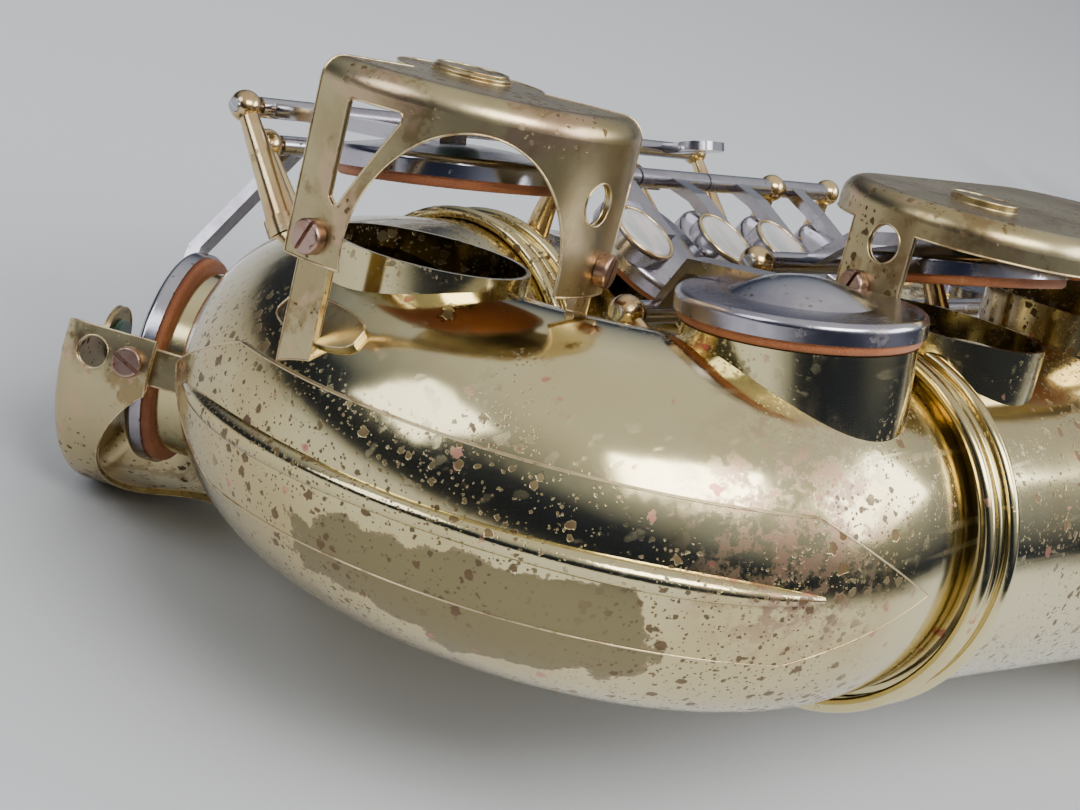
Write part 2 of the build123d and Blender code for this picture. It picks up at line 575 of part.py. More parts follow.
BRACKET = 1.6
with BuildPart() as c_brackets:
    for azimuth, height in C_GUARD_FEET:
        with BuildSketch(facing(C_GUARD_FRAME, azimuth, C_GUARD_R - SHEET - BRACKET - 0.6)):
            with Locations((0, height - 12)):
                Rectangle(8, 32)
        extrude(amount=BRACKET)
    add(bow_form, mode=Mode.SUBTRACT)
    with BuildSketch(Plane.XY):
        with Locations((C_HOLE.X, C_HOLE.Y)):
            Circle(50)
    extrude(amount=60, mode=Mode.INTERSECT)
with BuildPart() as eb_bracket:
    with BuildSketch(facing(EB_PLANE, EB_GUARD_FOOT[0], EB_GUARD_R - SHEET - BRACKET - 0.6)):
        with Locations((0, EB_GUARD_FOOT[1] - 7)):
            Rectangle(8, 22)
    extrude(amount=BRACKET)
    add(bow_form, mode=Mode.SUBTRACT)
with BuildPart() as bell_brackets:
    for azimuth, reach in BELL_GUARD_FEET:
        with BuildSketch(facing(BELL_GUARD_FRAME, azimuth, reach - SHEET - BRACKET - 0.6)):
            with Locations((0, BELL_GUARD_FOOT[1] - 9)):
                Rectangle(8, 26)
        extrude(amount=BRACKET)
    add(bell_outer, mode=Mode.SUBTRACT)
    add(bow_form, mode=Mode.SUBTRACT)


def upper_pieces(part, count, axis=Axis.Z):
    """The highest separate pieces, once a tube has been cut out of a group."""
    return Compound(children=list(part.solids().sort_by(axis)[-count:]))


save("guard_brackets", Compound(children=[
    upper_pieces(c_brackets.part, 2),
    eb_bracket.part.solids().sort_by(Axis(EB_HOLE, EB_OUT))[-1],
    upper_pieces(bell_brackets.part, 2)]))

screws = []
for azimuth, height in C_GUARD_FEET:
    seat = facing(C_GUARD_FRAME, azimuth, C_GUARD_R)
    screws.append(slotted_screw(Plane(seat.origin + UP * height, x_dir=seat.x_dir, z_dir=seat.z_dir), 1.6))
seat = facing(EB_PLANE, EB_GUARD_FOOT[0], EB_GUARD_R)
screws.append(slotted_screw(Plane(seat.origin + EB_OUT * EB_GUARD_FOOT[1], x_dir=seat.x_dir, z_dir=seat.z_dir), 1.6))
for azimuth, reach in BELL_GUARD_FEET:
    seat = facing(BELL_GUARD_FRAME, azimuth, reach)
    screws.append(slotted_screw(Plane(seat.origin + UP * BELL_GUARD_FOOT[1], x_dir=seat.x_dir, z_dir=seat.z_dir), 1.6))
save("guard_screws", Compound(children=[s.solid() for s in screws]))

# ---- keys ----
# Every key turns on a rod parallel to X.  "rod" is the rod's (Y, Z), "span" the two posts that hold it,
# "arm" the X where the cup's arm leaves the hinge tube, "swing" the angle between open and closed.
CUP_TOP = PAD_GAP + CUP_HEIGHT
RH_ROD, LH_ROD = (45, 51), (43.5, 40)


def rod_beside(hole, rise, gap):
    """Rod position beside a body tone hole: above its rim and past the edge of its cup."""
    x, angle, _, height, cup = BODY_HOLES[hole]
    out = around(angle)
    side = Vector(0, sin(radians(angle)), cos(radians(angle)))
    at = Vector(0, BODY_Y, 0) + out * (body_radius(x) + height + rise) + side * (cup + gap)
    return (at.Y, at.Z)


def body_key(hole, rod, span, swing, rests, touch=None, pearl=None):
    return dict(plane=body_hole_frame(hole), cup=BODY_HOLES[hole][4], rod=rod, span=span,
                arm=BODY_HOLES[hole][0], swing=swing, rests=rests, touch=touch, pearl=pearl, dome=1.4)


KEYS = {
    "low_c": dict(plane=C_PLANE, cup=23.5, rod=(96, 50), span=(-27, 168), arm=-15, swing=9.3,
                  rests="open", touch=(150, 82, 52), pearl=None, dome=2.2),
    "low_e_flat": dict(plane=EB_PLANE, cup=25.5, rod=(97.5, 41), span=(-16, 140), arm=-5, swing=9,
                       rests="closed", touch=(122, 83, 42), pearl=None, dome=2.2),
    "low_c_sharp": dict(plane=C_SHARP_PLANE, cup=25.5, rod=(-18, 35), span=(-21, 184), arm=-10, swing=13,
                        rests="closed", touch=(168, -4, 36), pearl=None, dome=0.6, crown=(15, 4.6)),
    "low_b": dict(plane=B_PLANE, cup=24.0, rod=(-20, 47), span=(22, 196), arm=46, swing=13.5,
                  rests="open", touch=(182, -34, 48), pearl=None, dome=2.2),
    "low_b_flat": dict(plane=BB_PLANE, cup=27.0, rod=(-27, 58), span=(84, 222), arm=112, swing=11,
                       rests="open", touch=(209, -41, 60), pearl=None, dome=2.2),
    "d": body_key("d", RH_ROD, (31.5, 63.35), 9, "open", pearl=36),
    "e": body_key("e", RH_ROD, (63.35, 95.95), 9, "open", pearl=74),
    "f": body_key("f", RH_ROD, (95.95, 132), 9, "open", pearl=104),
    "f_sharp": body_key("f_sharp", RH_ROD, (132, 164), 9, "open"),
    "g_sharp": body_key("g_sharp", rod_beside("g_sharp", 5, 6.5), (188, 226), 14, "closed", (212, 17, 37)),
    "g": body_key("g", LH_ROD, (242, 281.35), 9, "open", pearl=262),
    "a": body_key("a", LH_ROD, (281.35, 315.85), 9, "open", pearl=298),
    "b": body_key("b", LH_ROD, (315.85, 346.35), 9, "open", pearl=331),
    "small_c": body_key("small_c", LH_ROD, (346.35, 376), 8, "open"),
    "side_b_flat": body_key("side_b_flat", (88, 20), (205, 318), 14, "closed", (216, 97, 10)),
    "side_c": body_key("side_c", (94, 12.5), (232, 356), 12, "closed", (243, 101, 1)),
    "side_e": body_key("side_e", (100.5, 5), (259, 440), 9, "closed", (270, 103, -8)),
    "palm_d": body_key("palm_d", rod_beside("palm_d", 7.5, 6), (404, 455), 12, "closed", (413, 25, -30)),
    "palm_e_flat": body_key("palm_e_flat", rod_beside("palm_e_flat", 7.5, 6), (464, 497), 12, "closed", (475, 30, -32)),
    "palm_f": body_key("palm_f", rod_beside("palm_f", 7.5, 6), (505, 538), 12, "closed", (516, 25, -28)),
    "octave": body_key("octave", rod_beside("octave", 4, 5), (470, 572), 6, "closed", (482, 84, 8)),
}
SINGLE_NODE_KEYS = ("g_sharp", "g", "a", "b", "small_c", "side_b_flat", "side_c", "side_e",
                    "palm_d", "palm_e_flat", "palm_f", "octave")
LONG_ROD_SHARED = {RH_ROD: (31.5, 132, 164), LH_ROD: (242, 376)}


def opening_sign(key):
    """+1 if the cup lifts when the key turns by the right-hand rule about +X, otherwise -1."""
    arm = key["plane"].origin - Vector(key["plane"].origin.X, *key["rod"])
    return 1 if Vector(1, 0, 0).cross(arm).dot(key["plane"].z_dir) > 0 else -1


def at_rest(key, shape):
    """Turns a piece drawn closed to where the key rests."""
    if key["rests"] == "closed":
        return shape
    axis = Axis((0, *key["rod"]), (1, 0, 0))
    return shape.rotate(axis, opening_sign(key) * key["swing"])


def hinge_ends(key):
    """Ends of the hinge tube, clear of the posts and of the next tube on the rod."""
    posts = LONG_ROD_SHARED.get(key["rod"], key["span"])
    gaps = [BALL_R + END_GAP if x in posts else END_GAP for x in key["span"]]
    return key["span"][0] + gaps[0], key["span"][1] - gaps[1]


def lever(start, end, up, width, knee=4.0):
    """Flat bar from a hinge to a point, its thickness along up; knee is a distance back from the end."""
    run = end - start
    run -= up * run.dot(up)
    height = (end - start).dot(up)
    along = run.normalized()
    bend = run.length - knee
    with BuildPart(mode=Mode.PRIVATE) as bar:
        with BuildSketch(Plane(origin=start, x_dir=along, z_dir=along.cross(up))):
            with BuildLine():
                Polyline((0, -ARM_THICK / 2), (bend, height - ARM_THICK / 2), (run.length, height - ARM_THICK / 2),
                         (run.length, height + ARM_THICK / 2), (bend, height + ARM_THICK / 2),
                         (0, ARM_THICK / 2), (0, -ARM_THICK / 2))
            make_face()
        extrude(amount=width / 2, both=True)
    return bar.part


def cup_shell(key):
    """Key cup: a flat skirt round the pad, a rounded shoulder and a shallow dome."""
    frame, r = key["plane"], key["cup"]
    section = Plane(origin=frame.origin, x_dir=frame.x_dir, z_dir=frame.x_dir.cross(frame.z_dir))
    low, seat, shoulder = PAD_GAP + CUP_SKIRT, PAD_GAP + PAD_THICK, CUP_TOP - 1.6
    with BuildPart(mode=Mode.PRIVATE) as cup:
        with BuildSketch(section):
            with BuildLine():
                Polyline((0, CUP_TOP + key["dome"]), (0, seat), (r - 1, seat), (r - 1, low), (r, low), (r, shoulder))
                RadiusArc((r, shoulder), (r - 1.6, CUP_TOP), -1.6)
                Line((r - 1.6, CUP_TOP), (r * 0.7, CUP_TOP + key["dome"] * 0.4))
                ThreePointArc((r * 0.7, CUP_TOP + key["dome"] * 0.4), (r * 0.35, CUP_TOP + key["dome"] * 0.88),
                              (0, CUP_TOP + key["dome"]))
            make_face()
        revolve(axis=Axis(frame.origin, frame.z_dir))
        if key.get("crown"):
            crown_r, rise = key["crown"]
            with BuildSketch(section):
                with BuildLine():
                    Polyline((0, CUP_TOP + rise), (0, CUP_TOP - 1), (crown_r, CUP_TOP - 1), (crown_r, CUP_TOP + key["dome"] * 0.6))
                    ThreePointArc((crown_r, CUP_TOP + key["dome"] * 0.6), (crown_r * 0.54, CUP_TOP + rise * 0.74),
                                  (0, CUP_TOP + rise))
                make_face()
            revolve(axis=Axis(frame.origin, frame.z_dir))
    return cup.part


def key_metal(key):
    """Cup, arm, hinge tube and touch of one key, drawn closed."""
    frame, (y, z) = key["plane"], key["rod"]
    x0, x1 = hinge_ends(key)
    up = frame.z_dir
    with BuildPart(mode=Mode.PRIVATE) as metal:
        add(cup_shell(key))
        add(plug(Plane(origin=(x0, y, z), x_dir=(0, 1, 0), z_dir=(1, 0, 0)), TUBE_R, 0, x1 - x0))
        top = frame.origin + up * (CUP_TOP + key["dome"] * 0.5 + ARM_THICK / 2)
        width = ARM_WIDTH if key["cup"] > 14 else ARM_WIDTH * 0.7
        add(lever(Vector(key["arm"], y, z), top, up, width, knee=key["cup"] + 1.5))
        if key["touch"]:
            target = Vector(*key["touch"])
            pivot = Vector(target.X, y, z)
            away = (target - pivot).normalized()
            face = Vector(1, 0, 0).cross(away)
            face = face if face.dot(UP) > 0 else face * -1
            add(lever(pivot, target, face, 5))
            with BuildSketch(Plane(origin=target, x_dir=(1, 0, 0), z_dir=face).offset(-1.3)):
                SlotOverall(16, 11)
            extrude(amount=2.6)
        if key["pearl"]:
            holder = frame.offset(CUP_TOP - 0.4)
            seat = Plane(holder.origin + Vector(key["pearl"] - frame.origin.X, 0, 0), frame.x_dir, frame.z_dir)
            add(plug(seat, PEARL_R + 0.9, 0, 3.6))
            add(plug(seat, PEARL_R, 2.6, 5), mode=Mode.SUBTRACT)
        add(plug(Plane(origin=(x0 - 1, y, z), x_dir=(0, 1, 0), z_dir=(1, 0, 0)), ROD_R + RUN, 0, x1 - x0 + 2),
            mode=Mode.SUBTRACT)
    return metal.part


def key_pad(key):
    return plug(key["plane"], key["cup"] - 1, PAD_GAP, PAD_GAP + PAD_THICK)


def key_pearl(key):
    """Pearl touch: a disc with a shallow crown."""
    frame = key["plane"]
    seat = frame.origin + frame.z_dir * (CUP_TOP + 2.2) + Vector(key["pearl"] - frame.origin.X, 0, 0)
    with BuildPart(mode=Mode.PRIVATE) as pearl:
        with BuildSketch(Plane(origin=seat, x_dir=(1, 0, 0), z_dir=frame.z_dir)):
            Circle(PEARL_R)
        extrude(amount=PEARL_THICK)
        fillet(pearl.edges().sort_by(Axis(seat, frame.z_dir))[-1], 1.1)
    return pearl.part


for name, key in KEYS.items():
    metal = at_rest(key, key_metal(key))
    pad = at_rest(key, key_pad(key))
    if name in SINGLE_NODE_KEYS:
        save(name + "_key", Compound(children=list(metal.solids()) + list(pad.solids())))
    else:
        save(name + "_key", metal)
        save(name + "_pad", pad)
        if key["pearl"]:
            save(name + "_pearl", at_rest(key, key_pearl(key)))

# ---- posts and rods ----
POST_R = 2.4
FOOT_R = 4.5
FOOT_SUNK, FOOT_RISE = 3.0, 1.4      # the foot's reach into the tube's form, cut away later, and its height above it


def ball_post(foot, ball, stem_r=POST_R):
    """Turned post: a round foot, a tapered stem and a ball drilled for the rod."""
    way, height = (ball - foot).normalized(), (ball - foot).length
    side = way.cross(Vector(1, 0, 0)).normalized()
    neck_r = stem_r * 0.8
    shoulder = height - sqrt(BALL_R ** 2 - neck_r ** 2)
    with BuildPart(mode=Mode.PRIVATE) as post:
        with BuildSketch(Plane(origin=foot, x_dir=side, z_dir=side.cross(way))):
            with BuildLine():
                Polyline((0, height + BALL_R), (0, -FOOT_SUNK), (FOOT_R, -FOOT_SUNK), (FOOT_R, FOOT_RISE),
                         (stem_r * 1.3, FOOT_RISE), (neck_r, shoulder))
                ThreePointArc((neck_r, shoulder), (BALL_R, height), (0, height + BALL_R))
            make_face()
        revolve(axis=Axis(foot, way))
        with BuildSketch(Plane(origin=ball - Vector(8, 0, 0), x_dir=(0, 1, 0), z_dir=(1, 0, 0))):
            Circle(ROD_R)
        extrude(amount=16, mode=Mode.SUBTRACT)
    return post.part


def post_between(axis_point, rod_point, radius):
    """Post that stands straight out of a round tube towards a rod."""
    out = (rod_point - axis_point).normalized()
    return ball_post(axis_point + out * radius, rod_point)


def bell_radius(x):
    """Outer radius of the bell near a height, read straight between its stations."""
    for (s0, r0), (s1, r1) in zip(BELL_STATIONS, BELL_STATIONS[1:]):
        if x <= s1:
            return r0 + (r1 - r0) * (x - s0) / (s1 - s0)


rod_posts = {}
for key in KEYS.values():
    rod_posts.setdefault(key["rod"], set()).update(LONG_ROD_SHARED.get(key["rod"], key["span"]))

BOW_POSTS = {(-27, (96, 50)): Vector(-27, 76, 27), (-16, (97.5, 41)): Vector(-16, 82, 24),
             (-21, (-18, 35)): Vector(-21, -30, 28)}
BELL_RODS = ((-18, 35), (-20, 47), (-27, 58))
body_posts, bow_posts, bell_posts, rods = [], [], [], []
for rod, places in rod_posts.items():
    rods.append(plug(Plane(origin=(min(places) - 3.4, *rod), x_dir=(0, 1, 0), z_dir=(1, 0, 0)),
                     ROD_R, 0, max(places) - min(places) + 6.8))
    for x in sorted(places):
        ball = Vector(x, *rod)
        if (x, rod) in BOW_POSTS:
            bow_posts.append(ball_post(BOW_POSTS[x, rod], ball, 2.9 if rod == (96, 50) else POST_R))
        elif rod in BELL_RODS:
            axis_point = Vector(x, BELL_Y - x * tan(radians(BELL_TILT)), 0)
            bell_posts.append(post_between(axis_point, ball, bell_radius(max(x, COLLAR_END + 1))))
        else:
            body_posts.append(post_between(Vector(x, BODY_Y, 0), ball, body_radius(x)))


def trimmed(posts, *forms):
    """Posts cut to the tubes and rings that they stand on."""
    pieces = []
    for left in posts:
        for form in forms:
            left = left - form
        pieces.append(left.solids().sort_by(SortBy.VOLUME)[-1])
    return Compound(children=pieces)


save("body_posts", trimmed(body_posts, body_form))
save("bow_posts", trimmed(bow_posts, bow_form))
save("bell_posts", trimmed(bell_posts, bell_outer, bow_form, bell_bow_ring.part))
save("hinge_rods", Compound(children=[r.solid() for r in rods]))

# ---- felt bumpers under the guards ----
FELT_R = 5.0
FELT_GAP = 0.5


def bumper(key, ceiling, frame):
    """Felt between a guard's top and the open cup's arm."""
    top = at_rest(key, key_metal(key))
    touch = plug(frame, FELT_R, 0, ceiling) & top
    low = max(frame.to_local_coords(v.center()).Z for v in touch.vertices())
    return plug(frame, FELT_R, low + FELT_GAP, ceiling)


felts = []
for name, top in (("low_c", C_GUARD_TOP), ("low_b", BELL_GUARD_TOP), ("low_b_flat", BELL_GUARD_TOP)):
    hole = KEYS[name]["plane"].origin
    frame = Plane(origin=hole, x_dir=(1, 0, 0), z_dir=(0, 0, 1))
    felts.append(bumper(KEYS[name], top - SHEET - hole.Z, frame))
opened = dict(KEYS["low_e_flat"], rests="open")
felts.append(bumper(opened, EB_GUARD_TOP - SHEET, EB_PLANE))
save("guard_bumpers", Compound(children=[f.solid() for f in felts]))

# ---- neck ----
NECK_TURN = 30.0             # degrees that the neck is swivelled to the player's right
TENON_R = SOCKET_R - 0.05
NECK_BEND = 62.0
NECK_ARC = 100.0
NECK_STRAIGHT = 75.0
NECK_R_START, NECK_R_END = 13.4, 7.2
NECK_X = BODY_TOP + SOCKET_DEPTH + 12
CORK_R = 8.4
CORK_LENGTH = 32.0
bend_centre = Vector(NECK_X, BODY_Y + NECK_BEND, 0)
arc_end = bend_centre + Vector(cos(radians(NECK_ARC - 90)), sin(radians(NECK_ARC - 90)), 0) * NECK_BEND
neck_way = Vector(-sin(radians(NECK_ARC - 90)), cos(radians(NECK_ARC - 90)), 0)
neck_end = arc_end + neck_way * NECK_STRAIGHT


NECK_START = BODY_TOP + SOCKET_DEPTH
NECK_LENGTH = NECK_X - NECK_START + radians(NECK_ARC) * NECK_BEND + NECK_STRAIGHT


def neck_radius(distance):
    """Outer radius of the neck at a distance along its centre line."""
    return NECK_R_START + (NECK_R_END - NECK_R_START) * distance / NECK_LENGTH


def frustum(start, end, r_start, r_end):
    """Straight tapered length between two points."""
    way = (end - start).normalized()
    with BuildPart(mode=Mode.PRIVATE) as solid:
        with BuildSketch(Plane(origin=start, z_dir=way)):
            Circle(r_start)
        with BuildSketch(Plane(origin=end, z_dir=way)):
            Circle(r_end)
        loft()
    return solid.part


def neck_form(inset):
    """Tapered neck: a short straight, a round bend and a longer straight."""
    first = NECK_X - NECK_START
    bend = radians(NECK_ARC) * NECK_BEND
    with BuildPart(mode=Mode.PRIVATE) as tube:
        with BuildLine() as path:
            CenterArc((bend_centre.X, bend_centre.Y), NECK_BEND, -90, NECK_ARC)
        for i in range(4):
            a = radians(-90 + NECK_ARC * i / 3)
            out = Vector(cos(a), sin(a), 0)
            way = Vector(-sin(a), cos(a), 0)
            with BuildSketch(Plane(origin=bend_centre + out * NECK_BEND, x_dir=out, z_dir=way)):
                Circle(neck_radius(first + bend * i / 3) - inset)
        sweep(path=path.line, multisection=True)
    tube = tube.part
    tube += frustum(Vector(NECK_START, BODY_Y, 0), Vector(NECK_X, BODY_Y, 0),
                    neck_radius(0) - inset, neck_radius(first) - inset)
    tube += frustum(arc_end, neck_end, neck_radius(first + bend) - inset, NECK_R_END - inset)
    return tube


def swivelled(shape):
    return shape.rotate(BODY_AXIS, NECK_TURN)


TENON_PLANE = Plane(origin=(BODY_TOP + 1, BODY_Y, 0), x_dir=(0, 1, 0), z_dir=(1, 0, 0))
NECK_KEY_PIVOT = bend_centre + Vector(cos(radians(-45)), sin(radians(-45)), 0) * 80.75
with BuildPart() as neck_tube:
    add(neck_form(0))
    add(plug(TENON_PLANE, TENON_R, 0, SOCKET_DEPTH - 1))
    with BuildSketch(Plane(origin=(BODY_TOP + SOCKET_DEPTH + 0.3, BODY_Y, 0), x_dir=(0, 1, 0), z_dir=(1, 0, 0))):
        Circle(RECEIVER_R)
    extrude(amount=2.2)
    with BuildSketch(Plane(origin=bend_centre + Vector(NECK_BEND, 0, 0), x_dir=(0, 1, 0), z_dir=(1, 0, 0))):
        Circle(2.6)
    extrude(amount=13.5)
    for side in (-1, 1):
        out = Vector(cos(radians(-45)), sin(radians(-45)), 0)
        foot = bend_centre + out * NECK_BEND + UP * side * 6.2
        with BuildSketch(Plane(origin=foot, x_dir=(0, 0, 1), z_dir=out)):
            Rectangle(2.6, 5)
        extrude(amount=20.5)
    add(neck_form(WALL), mode=Mode.SUBTRACT)
    add(plug(TENON_PLANE.offset(-1), TENON_R - WALL, 0, SOCKET_DEPTH + 4), mode=Mode.SUBTRACT)
    with BuildSketch(Plane(origin=bend_centre + Vector(NECK_BEND, 0, 0), x_dir=(0, 1, 0), z_dir=(1, 0, 0))):
        Circle(1.6)
    extrude(amount=16, mode=Mode.SUBTRACT)
    with BuildSketch(Plane(origin=NECK_KEY_PIVOT - UP * 10)):
        Circle(ROD_R)
    extrude(amount=20, mode=Mode.SUBTRACT)
save("neck_tube", swivelled(neck_tube.part))

with BuildPart() as neck_cork:
    with BuildSketch(Plane(origin=neck_end - neck_way * CORK_LENGTH, z_dir=neck_way)):
        Circle(CORK_R)
    extrude(amount=CORK_LENGTH - 0.5)
    add(neck_form(0), mode=Mode.SUBTRACT)
save("neck_cork", swivelled(neck_cork.part))

PIP_TOP = bend_centre + Vector(NECK_BEND + 13.5, 0, 0)
PIP_PLANE = Plane(origin=PIP_TOP, x_dir=(0, 1, 0), z_dir=(1, 0, 0))
NECK_STRAP = (79.5, 82.0)
with BuildPart() as neck_octave_key:
    with BuildSketch(Plane.XY.offset(-2.5)):
        with Locations(bend_centre):
            Circle(NECK_STRAP[1])
            Circle(NECK_STRAP[0], mode=Mode.SUBTRACT)
        with Locations(bend_centre):
            Rectangle(200, 160, align=(Align.MIN, Align.MAX), mode=Mode.INTERSECT)
        with Locations((NECK_X, BODY_Y + NECK_BEND - NECK_STRAP[0])):
            Rectangle(7, NECK_STRAP[1] - NECK_STRAP[0], align=(Align.MAX, Align.MAX))
    extrude(amount=5)
    with BuildSketch(Plane(origin=(NECK_X - 7, BODY_Y, 0), x_dir=(0, 1, 0), z_dir=(1, 0, 0))):
        Circle(20.6)
        Circle(17.8, mode=Mode.SUBTRACT)
    extrude(amount=2.4)
    add(plug(PIP_PLANE, 5.5, PAD_GAP + 1.5, NECK_STRAP[0] - NECK_BEND - 13.5 + 1))
    with BuildSketch(Plane(origin=NECK_KEY_PIVOT - UP * 4.6)):
        Circle(TUBE_R)
    extrude(amount=9.2)
    with BuildSketch(Plane(origin=NECK_KEY_PIVOT - UP * 6)):
        Circle(ROD_R + RUN)
    extrude(amount=12, mode=Mode.SUBTRACT)
neck_pad = plug(PIP_PLANE, 4.8, PAD_GAP, PAD_GAP + 1.5)
save("neck_octave_key", swivelled(Compound(children=[neck_octave_key.part.solid(), neck_pad.solid()])))

with BuildPart() as neck_key_rod:
    with BuildSketch(Plane(origin=NECK_KEY_PIVOT - UP * 7.5)):
        Circle(ROD_R)
    extrude(amount=15)
save("neck_key_rod", swivelled(neck_key_rod.part))
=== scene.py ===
import json
import math
from collections import defaultdict

import bmesh
import bpy
import numpy as np
from mathutils import Matrix, Vector


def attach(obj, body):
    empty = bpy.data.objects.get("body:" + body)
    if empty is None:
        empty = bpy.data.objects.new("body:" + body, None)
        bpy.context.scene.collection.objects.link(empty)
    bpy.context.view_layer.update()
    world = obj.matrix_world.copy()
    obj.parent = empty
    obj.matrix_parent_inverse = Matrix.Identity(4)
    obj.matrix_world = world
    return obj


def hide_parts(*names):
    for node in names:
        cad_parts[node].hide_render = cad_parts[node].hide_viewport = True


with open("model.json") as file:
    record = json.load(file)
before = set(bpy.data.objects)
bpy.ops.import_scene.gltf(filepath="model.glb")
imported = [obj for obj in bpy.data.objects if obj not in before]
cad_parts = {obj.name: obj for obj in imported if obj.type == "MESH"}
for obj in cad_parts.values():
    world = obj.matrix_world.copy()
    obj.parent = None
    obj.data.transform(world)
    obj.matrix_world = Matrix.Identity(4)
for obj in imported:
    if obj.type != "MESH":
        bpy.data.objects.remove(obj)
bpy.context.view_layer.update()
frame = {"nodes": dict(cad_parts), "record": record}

# Tenor saxophone.  Places that belong to the horn's own frame (X up the body, -Y towards the bell,
# +Z the player's right, millimetres) are laid down by LAID, the same move as in the CAD source.
MM = 0.001
FLOOR_TILT, FLOOR_PITCH = -16.882, 2.338
REST_SHIFT = Vector((-332.5, -14.65, 71.8))
LAID = (Matrix.Scale(MM, 4) @ Matrix.Translation(REST_SHIFT)
        @ Matrix.Rotation(math.radians(FLOOR_TILT), 4, "X")
        @ Matrix.Rotation(math.radians(FLOOR_PITCH), 4, "Y"))
BEND_RADIUS = 54.0
BOW_R_BODY, BOW_R_BELL = 34.5, 38.0
UP = Vector((0, 0, 1))
WELD = 2e-6                  # metres: vertices nearer than this are one
SHARP = 40                   # degrees: a sheet edge is at least this sharp


def laid(x, y, z):
    """A point of the horn's own frame, in metres on the floor."""
    return LAID @ Vector((x, y, z))


def laid_way(way):
    return (LAID.to_3x3() @ Vector(way)).normalized()


# ---------------------------------------------------------------- materials

class Finish:
    """A Principled material and the procedural nodes that feed it."""

    def __init__(self, name, color, metallic, roughness, **constants):
        self.material = bpy.data.materials.new(name)
        self.material.use_nodes = True
        self.nodes = self.material.node_tree.nodes
        self.links = self.material.node_tree.links
        self.shader = self.nodes["Principled BSDF"]
        self.shader.inputs["Base Color"].default_value = (*color, 1)
        self.shader.inputs["Metallic"].default_value = metallic
        self.shader.inputs["Roughness"].default_value = roughness
        for socket, value in constants.items():
            self.shader.inputs[socket.replace("_", " ")].default_value = value
        self.place = self.nodes.new("ShaderNodeTexCoord").outputs["Object"]
        self.color = self.shader.inputs["Base Color"].default_value[:]
        self.rough = roughness
        self.height = None

    def add(self, kind, **settings):
        node = self.nodes.new("ShaderNode" + kind)
        for key, value in settings.items():
            setattr(node, key, value)
        return node

    def feed(self, socket, value):
        if isinstance(value, bpy.types.NodeSocket):
            self.links.new(value, socket)
        else:
            socket.default_value = value

    def math(self, operation, a, b):
        node = self.add("Math", operation=operation)
        self.feed(node.inputs[0], a)
        self.feed(node.inputs[1], b)
        return node.outputs[0]

    def noise(self, scale, detail=3.0, rough=0.55, stretch=None, distortion=0.0):
        node = self.add("TexNoise")
        node.inputs["Scale"].default_value = scale
        node.inputs["Detail"].default_value = detail
        node.inputs["Roughness"].default_value = rough
        node.inputs["Distortion"].default_value = distortion
        self.links.new(self.stretched(stretch), node.inputs["Vector"])
        return node.outputs["Fac"]

    def stretched(self, stretch):
        if not stretch:
            return self.place
        mapping = self.add("Mapping")
        mapping.inputs["Scale"].default_value = stretch
        self.links.new(self.place, mapping.inputs["Vector"])
        return mapping.outputs["Vector"]

    def between(self, value, low, high, out_low=0.0, out_high=1.0):
        """Smooth step of a value from low to high."""
        node = self.add("MapRange", interpolation_type="SMOOTHSTEP")
        self.feed(node.inputs["Value"], value)
        node.inputs["From Min"].default_value = low
        node.inputs["From Max"].default_value = high
        node.inputs["To Min"].default_value = out_low
        node.inputs["To Max"].default_value = out_high
        return node.outputs["Result"]

    def spots(self, scale, radius, share):
        """Round spots, each in its own cell; only the given share of the cells has one."""
        warp = self.add("VectorMath", operation="MULTIPLY_ADD")
        wobble = self.add("TexNoise")
        wobble.inputs["Scale"].default_value = scale * 2.2
        self.links.new(self.place, wobble.inputs["Vector"])
        self.links.new(wobble.outputs["Color"], warp.inputs[0])
        warp.inputs[1].default_value = (0.6 / scale,) * 3
        self.links.new(self.place, warp.inputs[2])
        cells = self.add("TexVoronoi")
        cells.inputs["Scale"].default_value = scale
        self.links.new(warp.outputs["Vector"], cells.inputs["Vector"])
        chosen = self.add("SeparateColor")
        self.links.new(cells.outputs["Color"], chosen.inputs["Color"])
        size = self.math("MULTIPLY", chosen.outputs["Green"], radius)
        inside = self.between(self.math("SUBTRACT", cells.outputs["Distance"], size), 0.06, -0.02)
        picked = self.math("LESS_THAN", chosen.outputs["Red"], share)
        return self.math("MULTIPLY", inside, picked)

    def near(self, centre, reach, soft):
        """1 within reach of a point, falling to 0 over the soft distance."""
        gap = self.add("VectorMath", operation="DISTANCE")
        self.links.new(self.place, gap.inputs[0])
        gap.inputs[1].default_value = centre
        return self.between(gap.outputs["Value"], reach + soft, reach)

    def tint(self, mask, color, strength=1.0):
        """Mixes a colour over what is there."""
        mix = self.add("Mix", data_type="RGBA")
        self.feed(mix.inputs["Factor"], self.math("MULTIPLY", mask, strength) if strength != 1.0 else mask)
        self.feed(mix.inputs[6], self.color)
        mix.inputs[7].default_value = (*color, 1)
        self.color = mix.outputs[2]

    def dull(self, mask, roughness):
        mix = self.add("Mix", data_type="FLOAT")
        self.feed(mix.inputs["Factor"], mask)
        self.feed(mix.inputs[2], self.rough)
        mix.inputs[3].default_value = roughness
        self.rough = mix.outputs[0]

    def raise_by(self, mask, amount):
        """Adds a mask to the bump height, in metres."""
        step = self.math("MULTIPLY", mask, amount)
        self.height = step if self.height is None else self.math("ADD", self.height, step)

    def done(self):
        self.feed(self.shader.inputs["Base Color"], self.color)
        self.feed(self.shader.inputs["Roughness"], self.rough)
        if self.height is not None:
            bump = self.add("Bump")
            bump.inputs["Distance"].default_value = 1.0
            self.links.new(self.height, bump.inputs["Height"])
            self.links.new(bump.outputs["Normal"], self.shader.inputs["Normal"])
        return self.material


